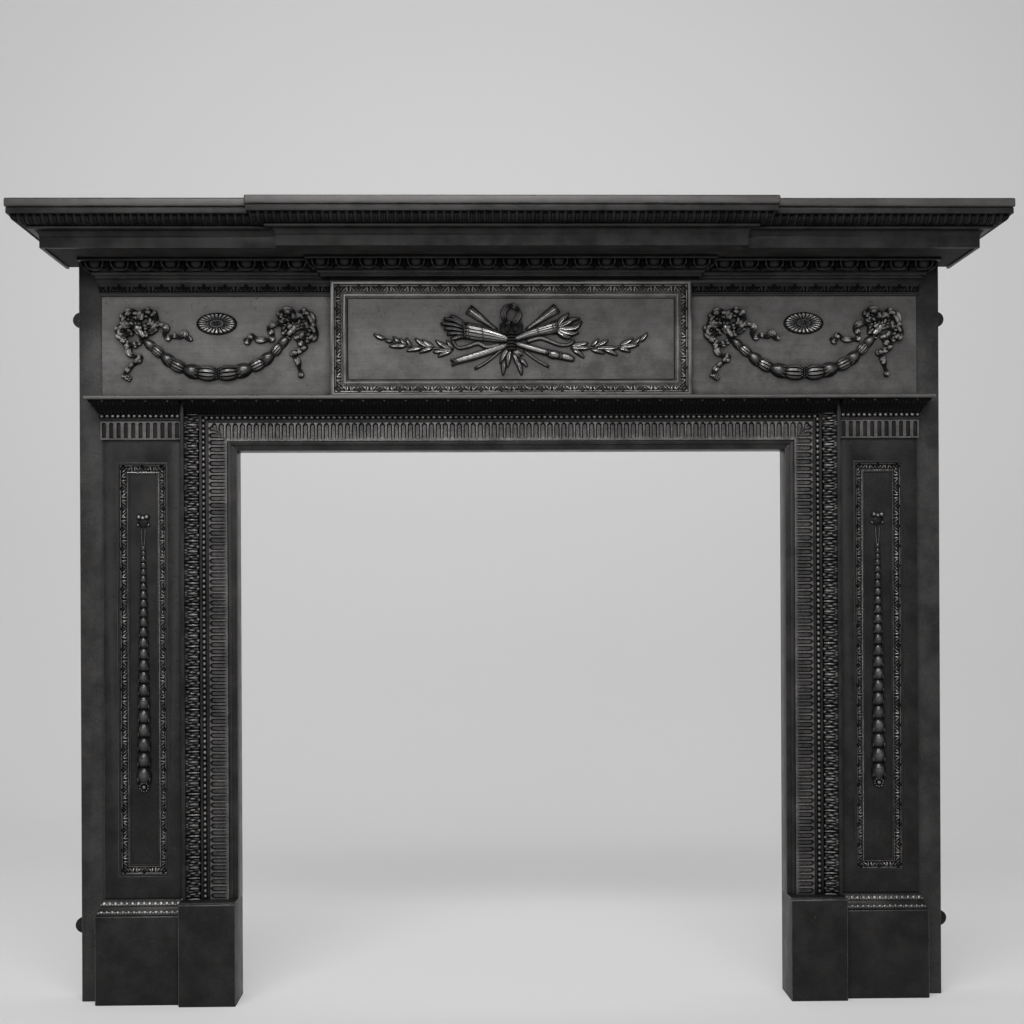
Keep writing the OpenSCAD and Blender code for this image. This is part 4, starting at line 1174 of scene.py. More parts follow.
@dataclass
class Cornice:
    """The cornice under the shelf, in a middle piece that breaks forward and two wings.

    Its members are placed by their distance in from the outer edge, and by their height.
    """

    site: Site
    wing: float = 209.0  # how far the wings' outer edge stands out
    centre: float = 228.5  # how far the middle's does
    half: float = 792.0  # half the length of the whole
    middle_half: float = 417.0  # half the length of the middle piece
    foot: float = 1225.0
    corona: float = 43.5  # face of the plain foot
    cove: Point = (34.5, 1252.0)  # top of the cove over it
    cove_foot: float = 1241.0  # height at which the cove starts
    lip: Point = (27.5, 1256.0)  # foot of the fillet under the tongues
    tongue_top: Point = (6.0, 1269.5)  # top of the tongues
    fillet: Point = (2.5, 1270.5)  # foot of the fillet over them
    fillet_top: float = 1279.0
    rim: float = 5.0  # face of the rim that joins the shelf
    top: float = 1280.5
    back: float = 48.5
    sunk: float = 3.4  # how far the ground lies behind the tongues

    def section(self) -> list[Point]:
        """The plain members, with the ground behind the tongues."""
        tongue_foot = (self.lip[0] + 1, self.lip[1] + 0.5)
        ground = [(a + self.sunk, b + self.sunk * 0.4) for a, b in quarter(self.tongue_top, tongue_foot)]
        return [(self.rim, self.top), (self.rim, self.fillet_top), (self.fillet[0], self.fillet_top),
                self.fillet, (self.tongue_top[0] + self.sunk, self.fillet[1]), *ground,
                (self.lip[0] + self.sunk, self.lip[1]), self.lip, (self.lip[0], self.cove[1]),
                *quarter((self.corona, self.cove_foot), self.cove)[::-1],
                (self.corona, self.foot), (self.back, self.foot), (self.back, self.top)]

    def build(self) -> None:
        """Casts the three pieces."""
        foot, top_z = (self.lip[0] + 1, self.lip[1] + 0.2), self.fillet[1] + 0.2
        face = [*straight((self.tongue_top[0], top_z), self.tongue_top, (0.0, BAR_EDGE)),
                *quarter(self.tongue_top, foot, 11)]
        back = [(foot[0] + 5, foot[1]), (foot[0] + 5, top_z)]
        for part in Part:
            mould = Mould(self.site)
            course = part.course(self.half, 0.0, self.wing, self.middle_half, self.centre)
            mould.run(course, self.section(), soft=0.9)
            mould.carve(course, face, back, TONGUES)
            mould.pour(part.node("cornice"), Finish.CAST)


@dataclass
class EggAndDart:
    """The egg and dart course under the soffit.

    Its members are placed by their distance in from the outer edge, and by their height.
    """

    site: Site
    out: float = 84.0  # how far the wings' outer edge stands out
    centre_out: float = 103.5  # how far the middle's does
    half: float = 710.0  # half the length of the whole
    middle_half: float = 337.5  # half the length of the middle
    return_p: float = 41.0  # where the ends start
    foot: float = 1197.5
    steps: tuple[Point, Point] = ((24.0, 1202.0), (19.0, 1207.0))  # the two steps under the eggs
    egg_foot: Point = (17.0, 1208.0)  # foot of the eggs
    egg_top: Point = (2.0, 1222.0)  # top of the eggs
    top: float = 1228.0  # top of the fillet over them
    back: float = 31.0
    sunk: float = 5.2  # how far the ground lies behind the eggs
    plate: float = 6.0  # thickness of the plate behind its top
    floor_from: float = 54.0  # where the plate under the middle starts

    def section(self) -> list[Point]:
        """The plain members, with the ground behind the eggs."""
        (low_set, low_z), (step_set, step_z) = self.steps
        return [(0.0, self.top), (0.0, self.egg_top[1] + 0.5), (self.egg_top[0] + self.sunk, self.egg_top[1]),
                (self.egg_foot[0] + self.sunk * 0.7, self.egg_foot[1] + 3),
                (step_set + 2.5, self.egg_foot[1]), (step_set, step_z), (step_set, low_z),
                (low_set, low_z), (low_set, self.foot), (self.back, self.foot), (self.back, self.top)]

    def plates(self, mould: Mould, part: Part) -> None:
        """Adds the plates that carry the course from behind.

        Args:
            mould: the casting they belong to.
            part: which casting it is.
        """
        inside, under = self.back - 1.0, self.top - self.plate
        if part is Part.CENTRE:
            reach, front = self.middle_half - inside, self.centre_out - inside
            mould.slab(Span(-reach, reach, self.return_p, front, under, self.top), 0)
            mould.slab(Span(-reach, reach, self.floor_from, front, self.foot, self.steps[0][1]), 0)
            return
        sign = -1 if part is Part.LEFT else 1
        ends = sorted((sign * (self.middle_half - inside), sign * (self.half - inside)))
        mould.slab(Span(*ends, self.return_p, self.out - inside, under, self.top), 0)

    def build(self) -> None:
        """Casts the middle and the two wings."""
        edge = self.egg_top[1] + 0.7
        face = [(self.egg_top[0], edge), *quarter(self.egg_top, self.egg_foot, 12)]
        back = [(self.back - 2, self.egg_foot[1]), (self.back - 2, edge)]
        for part in Part:
            mould = Mould(self.site)
            course = part.course(self.half, self.return_p, self.out, self.middle_half, self.centre_out)
            mould.run(course, self.section(), soft=0.7)
            mould.carve(course, face, back, EGGS)
            self.plates(mould, part)
            mould.pour(part.node("egg_dart"), Finish.CAST)


# ---- frieze ----


@dataclass
class FriezeCap:
    """The leaf moulding and plain flat along the top of each frieze panel."""

    site: Site
    face: float = 51.0  # the frieze's own face
    out: float = 58.5  # how far the flat stands out
    return_p: float = 41.0  # where the return starts
    flat_h: float = 9.0  # height of the flat
    foot_h: float = 4.5  # height of the fillet at the foot
    foot_out: float = 2.0  # how far that fillet stands off the face
    leaf_out: float = 6.6  # how far the top of the leaves does
    ground: float = 2.2  # how far the ground behind the leaves lies before the back

    def build(self, side: Side) -> None:
        """Casts one side's cap.

        Args:
            side: the side.
        """
        node = side.node("frieze_cap")
        span = self.site.span(node)
        course = corner_course(side, span.reach, min(abs(span.x0), abs(span.x1)), self.return_p, self.out)
        back = self.out - self.face + 1.0
        ground = back - self.ground
        flat_z, foot_z = span.z1 - self.flat_h, span.z0 + self.foot_h
        foot_a = self.out - self.face - self.foot_out
        leaf_a = self.out - self.face - self.leaf_out
        mould = Mould(self.site)
        mould.run(course, [(0.0, span.z1), (0.0, flat_z), (ground, flat_z), (ground, foot_z),
                           (foot_a, foot_z), (foot_a, span.z0), (back, span.z0), (back, span.z1)], soft=0.7)
        mould.carve(course, quarter((leaf_a, flat_z - 0.3), (foot_a, foot_z + 0.2), 12),
                    [(back - 0.4, foot_z + 0.2), (back - 0.4, flat_z - 0.3)], CAP_LEAF)
        mould.pour(node, Finish.CAST, Finish.CAST)


@dataclass
class TabletFrame:
    """The carved frame round the middle tablet."""

    site: Site
    fillet: float = 5.5  # width of the fillet round its outside
    ground_drop: float = 7.6  # how far the ground behind the leaves lies below the fillet
    leaf_drop: float = 6.4  # how far the leaves' inner edge does
    leaf_to: float = 20.5  # width as far as the leaves' inner edge
    width: float = 29.0
    member_p: float = 63.0  # how far the inner member stands out
    # points of the inner member, across and out from its first edge
    member: tuple[Point, ...] = ((0.0, 0.0), (3.6, 0.0), (4.2, -1.0))

    def build(self) -> None:
        """Casts the frame."""
        span = self.site.span("tablet_frame")
        course = Course(Plane.FACE, ((span.x0, span.z0), (span.x0, span.z1), (span.x1, span.z1),
                                     (span.x1, span.z0)), closed=True)
        mould = Mould(self.site)
        ground = span.p1 - self.ground_drop
        mould.run(course, [(0.0, span.p0), (0.0, span.p1), (self.fillet, span.p1), (self.fillet, ground),
                           (self.leaf_to, ground),
                           *((self.leaf_to + a, self.member_p + b) for a, b in self.member),
                           (self.width, self.member_p - 4.4), (self.width, span.p0)], soft=0.4)
        edge = self.fillet + 0.3
        face = straight((edge, span.p1 + 0.2), (self.leaf_to, span.p1 - self.leaf_drop), EVEN_MARKS)
        mould.carve(course, face, [(self.leaf_to, ground - 0.5), (edge, ground - 0.5)], FRAME_LEAF)
        mould.pour("tablet_frame", Finish.FRAME, Finish.FRAME)


@dataclass(frozen=True)
class Bow:
    """A ribbon bow, drawn from the middle of its garland."""

    loops: tuple[tuple[Point, ...], ...]
    inner: tuple[tuple[Point, ...], ...]  # the small loops inside them
    tails: tuple[tuple[Point, ...], ...]  # the hanging ends, and the ribbon that curls in over the swag
    folds: tuple[tuple[Point, float], ...]  # middle and lean, in degrees, of each fold that stands up
    knot: Point
    end: Point  # where the pleats below the knot end


LEFT_BOW = Bow(
    loops=(((-131, -3), (-143, 0), (-155, 6), (-153, 16), (-143, 23), (-133, 21), (-130, 9), (-132, -3)),
           ((-131, -3), (-127, 13), (-120, 23), (-109, 23), (-100, 13), (-104, 1), (-116, -3), (-130, -5)),
           ((-132, -6), (-143, -1), (-157, 0), (-163, -8), (-159, -18), (-148, -15), (-138, -8)),
           ((-138, -12), (-153, -19), (-152, -28), (-143, -32), (-132, -30), (-122, -25)),
           ((-132, -6), (-122, -15), (-111, -12), (-97, -3))),
    inner=(((-126, 0), (-124, 11), (-115, 15), (-109, 9), (-112, 2), (-119, 3)),
           ((-143, -10), (-150, -5), (-155, -8), (-153, -13)),
           ((-136, 1), (-145, 7), (-144, 15), (-137, 14), (-135, 5))),
    tails=(((-132, -6), (-126, -15), (-124, -23)),
           ((-132, -31), (-143, -36), (-146, -43), (-139, -50), (-124, -53), (-132, -61), (-143, -69),
            (-151, -78), (-153, -87)),
           ((-151, -85), (-146, -87), (-142, -90)),
           ((-101, 3), (-90, 1), (-82, -5), (-87, -14), (-81, -21), (-70, -17), (-61, -20), (-53, -12),
            (-47, -23), (-41, -20))),
    folds=(((-154, 10), 60), ((-147, 20), 40), ((-133, 20), 0), ((-113, 22), -10), ((-123, 13), 70),
           ((-158, -3), 30), ((-161, -12), 100), ((-154, -25), -50), ((-147, -36), 60), ((-91, 1), -15),
           ((-141, -66), 40), ((-132, -58), 50), ((-127, -5), 20)),
    knot=(-131, -4), end=(-118, -20))
RIGHT_BOW = Bow(
    loops=(((127, -3), (120, 5), (107, 10), (105, 19), (114, 25), (125, 22), (129, 13), (128, -3)),
           ((127, -3), (135, 13), (140, 22), (151, 20), (158, 8), (150, -1), (137, -1)),
           ((128, -5), (142, -2), (156, 0), (164, -11), (158, -22), (147, -24), (138, -15)),
           ((126, -5), (117, -14), (110, -8), (115, -1), (123, 0))),
    inner=(((134, 1), (141, 13), (149, 12), (149, 5), (141, 2)),
           ((121, 6), (113, 14), (118, 19), (124, 14), (124, 6)),
           ((137, -5), (148, -6), (155, -11), (149, -17), (143, -12))),
    tails=(((127, -5), (123, -15), (118, -22)),
           ((131, -15), (136, -28), (148, -36), (138, -42), (125, -46), (130, -54), (135, -62), (136, -72),
            (139, -78), (138, -87)),
           ((114, -3), (100, 3), (89, -1), (85, -7), (92, -14), (91, -23), (79, -24), (68, -24), (58, -16),
            (52, -28), (45, -22))),
    folds=(((107, 16), 70), ((117, 23), 10), ((127, 16), -70), ((136, 16), 60), ((149, 20), -20),
           ((156, 8), -70), ((160, -8), -60), ((156, -20), 40), ((141, -16), 50), ((144, -38), 20),
           ((129, -46), -10), ((134, -62), 70), ((93, 0), 20), ((121, -2), 40)),
    knot=(128, -4), end=(117, -17))
LOOP = Limb((), half=(3.0, 4.2, 4.6, 4.2, 3.0), rise=(5.4, 7.2, 7.6, 7.2, 5.4), form=Form.RIBBON, ruffle=0.3,
            shine=1.35)
INNER_LOOP = Limb((), half=(1.8, 2.9, 1.8), rise=(4.6, 6.8, 4.6), steps=16, ruffle=0.3, ruffles=3.0,
                  shine=1.1)
TAIL = Limb((), half=(3.6, 3.2, 3.2, 3.0), rise=(5.4, 5.0), form=Form.RIBBON, ruffle=0.4, shine=1.45)
FOLD = Limb((), half=(2.6, 3.8, 2.6), rise=(7.4, 9.6, 7.4), steps=8, shine=1.7)
PLEATS = Limb((), half=(2.6, 4.4, 5.0, 3.4), rise=(6.4, 8.0, 7.0), form=Form.REEDS, steps=8)
ROUND_BELL = Limb((), half=(0.42, 0.82, 1.02, 1.06, 0.92), rise=(0.4, 0.86, 1.05, 1.0, 0.6), shine=0.72)
CUT_BELL = Limb((), half=(0.6, 0.9, 0.98, 0.94, 0.74), rise=(0.5, 0.9, 1.0, 0.9, 0.5), form=Form.SLOTS,
                steps=9, shine=0.85)


@dataclass
class Garlands:
    """Ribbon bows, swags of bellflowers and oval paterae on the two frieze panels."""

    site: Site
    field_p: float = 51.0  # the field they lie on
    bow_z: float = 1120.5
    # length and width of each bellflower of a swag, from a bow to the middle
    bells: tuple[Point, ...] = ((16.0, 14.0), (17.0, 16.0), (18.5, 18.0), (20.0, 19.5), (22.0, 22.0),
                                (26.0, 25.0))
    # the line of a swag
    swag: tuple[Point, ...] = (
        (-118, -25), (-111, -32), (-96, -43), (-81, -57), (-63, -68), (-43, -76), (-22, -79), (1, -80),
        (22, -79), (39, -76), (61, -68), (81, -57), (97, -42), (109, -28), (117, -20))
    loop_ruffle: float = 15.0  # length of one ruffle of a loop
    tail_ruffle: float = 17.0  # length of one ruffle of a tail
    fold_half: float = 4.6  # half the length of a fold
    knot: Point = (5.2, 6.4)  # half width and half height of a knot
    knot_rise: float = 7.6
    patera: Point = (31.5, 17.2)  # half width and half height of a patera
    patera_up: float = 3.0  # how far a patera's middle lies above the bows' height
    petals: int = 24

    def bow(self, mould: Mould, seat: Seat, bow: Bow) -> None:
        """Adds one ruffled bow with its curls and tails.

        Args:
            mould: the casting it belongs to.
            seat: the middle of its garland.
            bow: its drawing.
        """
        for points in bow.loops:
            turns = sum(map(math.dist, points, points[1:])) / self.loop_ruffle
            mould.limb(LOOP.along(*points, steps=round(turns * 9), ruffles=turns), seat)
        mould.limbs((INNER_LOOP.along(*points) for points in bow.inner), seat)
        for points in bow.tails:
            turns = sum(map(math.dist, points, points[1:])) / self.tail_ruffle
            mould.limb(TAIL.along(*points, steps=round(turns * 10), ruffles=turns), seat)
        for (x, z), turn in bow.folds:
            lean_x = self.fold_half * math.cos(math.radians(turn))
            lean_z = self.fold_half * math.sin(math.radians(turn))
            mould.limb(FOLD.along((x - lean_x, z - lean_z), (x + lean_x, z + lean_z)), seat)
        mould.limb(PLEATS.along(bow.knot, halfway(bow.knot, bow.end), bow.end), seat)
        mould.dish(seat.moved(*bow.knot), self.knot, (0, 0.4, 0.75, 1), 12,
                   lambda r, _: self.knot_rise * dome(r))

    def bell(self, mould: Mould, seat: Seat, long: float, wide: float, cut: bool) -> None:
        """Adds one bellflower.

        Args:
            mould: the casting it belongs to.
            seat: its stem, with its mouth downwards.
            long: its length.
            wide: its width.
            cut: whether it is cut into bars, as every second one is.
        """
        half = wide / 2
        body = CUT_BELL if cut else ROUND_BELL
        mould.limb(body.sized(half).along((0, 1.5), (0, -long / 2), (0, -long)), seat)
        for k in () if cut else (-1.0, -0.34, 0.34, 1.0):
            drop = 0.3 * k * k
            petal = Limb((), half=(0.1, 0.16, 0.08), rise=(1.08 - drop, 1.12 - drop, 0.6), steps=4)
            root, tip = (k * half * 0.6, -long * 0.66), (k * half * 0.82, -long * 1.1)
            mould.limb(petal.sized(half).along(root, tip), seat)

    def garland(self, mould: Mould, seat: Seat) -> None:
        """Adds the swag of bellflowers, which grow to its middle, and the net at their mouths.

        Args:
            mould: the casting it belongs to.
            seat: its middle at the height of the bows.
        """
        line = smooth_line(self.swag, 240)
        reach = way_along(line)
        fit = (reach[-1] / 2 - 3.0) / sum(long for long, _ in self.bells)
        for sign in (1, -1):
            spot = 0.0
            for index, (long, wide) in enumerate(self.bells):
                near, far = ([float(np.interp(way if sign > 0 else reach[-1] - way, reach, line[:, k]))
                              for k in (0, 1)] for way in (spot, spot + long * fit))
                turn = math.degrees(math.atan2(far[1] - near[1], far[0] - near[0])) + 90
                self.bell(mould, seat.moved(near[0], near[1], turn), long * fit, wide, index % 2 == 1)
                spot += long * fit
        net = [(-7.5 + 3.75 * column, -87.5 + 3.75 * row + 1.8 * (column % 2)) for column in range(5)
               for row in range(5)]
        mould.berries(net, 1.5, 11.0, seat)

    def seat(self, side: Side) -> Seat:
        """Middle of one side's garland, at the height of its bows."""
        return Seat(self.site.span(side.node("garland")).mid_x, self.bow_z, self.field_p)

    def build(self, side: Side) -> None:
        """Casts one side's swag.

        Args:
            side: the side.
        """
        mould = Mould(self.site)
        self.garland(mould, self.seat(side))
        mould.pour(side.node("garland"), Finish.ORNAMENT)

    def build_bows(self) -> None:
        """Casts the four bows."""
        mould = Mould(self.site)
        for side in Side:
            for bow in (LEFT_BOW, RIGHT_BOW):
                self.bow(mould, self.seat(side), bow)
        mould.pour("ribbon_bows", Finish.RIBBON)

    def relief(self, r: np.ndarray, t: np.ndarray) -> np.ndarray:
        """Height of a patera's boss, ring, petals and rim.

        Args:
            r: share of the radius.
            t: angle round the middle.

        Returns:
            The heights.
        """
        petal = np.clip(np.abs(np.cos(t * self.petals / 2)) * 1.8, 0, 1)
        core = np.where(r < 0.26, 2.2 + 2.6 * dome(r / 0.2) * (0.6 + 0.4 * np.cos(5 * t)), 0.6)
        core = np.where(r < 0.41, np.maximum(core, 3.8 * dome((r - 0.33) / 0.075)), core)
        leaf = (3.4 + 2.2 * fade(r, 0.44, 0.85)) * fade(r, 1.06, 0.9) * petal + 0.3
        return np.where(r < 0.42, core, leaf)

    def build_paterae(self) -> None:
        """Casts the two oval paterae."""
        rings = (0, 0.1, 0.18, 0.24, 0.27, 0.31, 0.35, 0.39, 0.43, 0.5, 0.6, 0.7, 0.8, 0.88, 0.94, 0.98, 1.0)
        mould = Mould(self.site)
        for side in Side:
            seat = self.seat(side).moved(0, self.patera_up)
            mould.dish(seat, self.patera, rings, 6 * self.petals, self.relief)
        mould.pour("oval_paterae", Finish.ORNAMENT)


STEM = Limb((), half=(3.2, 3.0, 1.8), rise=(5.4, 5.0, 4.0), steps=26)
TWIG = Limb((), half=(1.1,), rise=(2.2,), steps=12)
ARROW = Limb((), half=(2.4, 3.6, 6.4, 8.2), rise=(4.2, 5.4, 6.0), form=Form.REEDS)
BAND_ROUND = Limb((), half=(1.7,), rise=(9.4, 12.0, 9.4), steps=8)
BARB = Limb((), half=(2.2, 3.4, 3.6, 2.0), rise=(6.8, 8.0, 6.4), form=Form.LEAF, steps=9, shine=0.8)
FLAME = Limb((), half=(3.6, 5.6, 4.4, 1.0), rise=(6.4, 8.4, 5.0), form=Form.LEAF)
HANGER = Limb((), half=(2.6, 3.4, 3.8, 3.4, 2.6), rise=(6.0, 7.4, 7.8, 7.4, 6.0), form=Form.RIBBON, steps=40,
              ruffle=0.2, ruffles=4.0, shine=1.4)
LOBE = Limb((), half=(2.6, 3.8, 4.0, 3.6, 2.4), rise=(6.0, 7.4, 7.0, 5.6), form=Form.RIBBON, steps=18,
            ruffle=0.2, ruffles=3.0, shine=0.7)
STRING = Limb((), half=(0.8, 1.7), rise=(8.4, 9.0), steps=6, shine=0.7)
LASHING = Limb((), half=(2.4,), rise=(8.0, 11.4, 8.0), steps=8, shine=0.75)


@dataclass
class Trophy:
    """The trophy on the tablet: a quiver, a torch and sprays of laurel, hung from a bow."""

    site: Site
    field_p: float = 60.0  # the field it lies on
    # the stems of its laurel
    stems: tuple[tuple[Point, ...], ...] = (
        ((25, -5), (37, -1), (49, 1), (61, -3), (85, -11), (98, -9), (104, -2)),
        ((-19, -10), (-44, -13), (-53, -8), (-73, -13), (-88, -15), (-96, -6), (-98, 3)))
    # the thin twigs that the leaves stand on
    twigs: tuple[tuple[Point, ...], ...] = (
        ((98, -16), (140, -15), (182, -13), (214, -4)), ((-96, -18), (-140, -15), (-175, -11), (-212, 1)))
    # root and tip of each leaf, those of the sprigs below the knot last
    leaves: tuple[tuple[Point, Point], ...] = (
        ((99, -12), (128, -7)), ((99, -15), (131, -16)), ((101, -18), (121, -32)), ((132, -13), (144, 0)),
        ((137, -13), (161, -2)), ((139, -16), (179, -16)), ((132, -18), (155, -25)),
        ((153, -18), (176, -28)), ((180, -11), (203, 1)), ((180, -14), (212, -10)), ((178, -16), (198, -22)),
        ((203, -10), (214, 3)), ((212, -5), (226, 10)), ((-96, -17), (-107, -2)), ((-98, -18), (-126, -2)),
        ((-98, -19), (-130, -22)), ((-99, -20), (-122, -30)), ((-128, -14), (-148, -1)),
        ((-133, -15), (-160, 1)), ((-130, -15), (-153, -23)), ((-148, -15), (-174, -20)),
        ((-165, -13), (-174, 2)), ((-173, -10), (-185, 1)), ((-173, -11), (-203, -12)),
        ((-183, -6), (-196, 4)), ((-196, -4), (-209, -3)), ((-209, 0), (-228, 8)),
        ((2, -19), (14, -32)), ((4, -19), (19, -28)), ((3, -24), (11, -47)), ((10, -37), (17, -61)),
        ((14, -34), (26, -47)), ((-4, -15), (-19, -42)), ((-12, -35), (-14, -61)), ((-2, -17), (-7, -48)),
        ((-4, -15), (-13, -27)))
    # the crossed shafts, with their heads and turned grips
    shafts: tuple[Limb, ...] = (
        Limb(((-12, -15), (-48, -43), (-61, -50)), (1.7,), (3.6,), steps=8),
        Limb(((20, -19), (44, -37), (62, -47)), (1.7,), (3.6,), steps=8),
        Limb(((-4, -10), (-52, -26), (-97, -39)), (4.6, 5.4, 5.6, 4.4), (6.0, 6.6, 5.6), Form.REEDS),
        Limb(((-90, -35), (-101, -35)), (1.6,), (5.0, 4.0), steps=4),
        Limb(((-88, -39), (-99, -44)), (1.6,), (5.0, 4.0), steps=4),
        Limb(((4, -7), (34, -16), (62, -24)), (4.2, 5.2, 5.0), (6.6, 7.4, 7.0), steps=8),
        Limb(((61, -18), (64, -25), (62, -31)), (1.8,), (7.6, 8.4, 7.6), steps=6),
        Limb(((63, -25), (73, -27), (80, -29)), (6.0, 7.0, 5.2), (7.0, 7.6, 6.2), steps=6),
        Limb(((81, -22), (82, -29), (80, -35)), (1.5,), (7.0, 7.8, 7.0), steps=6),
        Limb(((82, -29), (93, -31), (104, -35)), (5.4, 6.2, 3.6), (6.4, 6.6, 4.4), steps=6))
    # root and tip of each reeded fan above
    arrows: tuple[tuple[Point, Point], ...] = (((-24, 14), (-71, 49)), ((24, 14), (76, 51)))
    # the quiver and the torch
    cases: tuple[Limb, ...] = (
        Limb(((-3, -2), (-40, 7), (-77, 14)), (5.0, 9.5, 13.0, 13.4), (7.0, 8.6, 9.4), Form.REEDS, 14),
        Limb(((4, -1), (38, 10), (76, 20)), (4.2, 6.4, 8.0, 10.2), (6.6, 8.0, 9.0), Form.REEDS, 14))
    # ends of each band round them
    bands: tuple[tuple[Point, Point], ...] = (
        ((-76, -0.5), (-79, 27.5)), ((-70, -0.5), (-72, 26.5)), ((-46, -3), (-49, 20)), ((46, 4), (42, 20)),
        ((71, 7.5), (67, 28.5)), ((76, 9), (73, 30.5)))
    # the feathers at the quiver's mouth
    barbs: tuple[tuple[Point, ...], ...] = (
        ((-78, 24), (-90, 32), (-101, 38)), ((-78, 21), (-95, 30), (-112, 33)),
        ((-78, 17), (-98, 23), (-117, 25)), ((-78, 12), (-97, 16), (-112, 17)),
        ((-78, 7), (-93, 9), (-107, 8)), ((-78, 3), (-90, 2), (-100, -2)))
    # the torch's flames
    flames: tuple[tuple[Point, ...], ...] = (
        ((76, 20), (83, 30), (91, 37), (95, 43)), ((76, 19), (91, 25), (104, 32), (114, 33)),
        ((76, 18), (93, 16), (107, 18), (117, 29)), ((76, 16), (90, 10), (101, 8), (112, 10)),
        ((75, 14), (83, 8), (91, 3), (100, 1)))
    # the loop that the whole hangs from
    hanger: tuple[Point, ...] = (
        (-1, 20), (-6, 27), (-12.4, 36), (-11.6, 46), (-5, 53), (0, 54.5), (5, 53), (11.6, 46), (12.4, 36),
        (6, 27), (1, 20))

    def build(self) -> None:
        """Casts the trophy."""
        span = self.site.span("tablet_frame")
        seat = Seat(0.0, (span.z0 + span.z1) / 2, self.field_p)
        mould = Mould(self.site)
        mould.limbs(self.arms(), seat)
        mould.limbs(self.laurel(), seat)
        mould.limbs(self.bow(), seat)
        mould.pour("tablet_trophy", Finish.ORNAMENT)

    def arms(self) -> Iterator[Limb]:
        """Gives the quiver, the torch and the shafts that cross behind the knot."""
        yield from self.shafts
        for root, tip in self.arrows:
            yield ARROW.along(root, halfway(root, tip), tip)
        yield from self.cases
        for limb, spines in ((BAND_ROUND, self.bands), (BARB, self.barbs), (FLAME, self.flames)):
            yield from (limb.along(*spine) for spine in spines)

    def laurel(self) -> Iterator[Limb]:
        """Gives the laurel's stems, leaves and twigs."""
        yield from (STEM.along(*spine) for spine in self.stems)
        for root, tip in self.leaves:
            x, z = halfway(root, tip)
            bend = (tip[1] - root[1]) * 0.12
            wide = min(4.3, 1.5 + 0.09 * math.dist(root, tip))
            yield Limb((root, (x, z - bend), tip), (0.8, wide, wide * 1.05, wide * 0.75, 0.5),
                       (3.6, 5.8, 5.2, 3.0), Form.LEAF, 9)
        yield from (TWIG.along(*spine) for spine in self.twigs)

    def bow(self) -> Iterator[Limb]:
        """Gives the bow and the wrapped knot that hold the trophy."""
        yield HANGER.along(*self.hanger)
        for sign in (-1, 1):
            yield LOBE.along((0, 25), (8 * sign, 27), (15 * sign, 20), (11 * sign, 11), (3 * sign, 9))
            yield STRING.along((1.4 * sign, 26), (4.6 * sign, 8))
        for up in range(8, -20, -5):
            yield LASHING.along((-7.4, up - 1), (0, up), (7.4, up - 1))


# ---- ledge, lintel and architrave ----


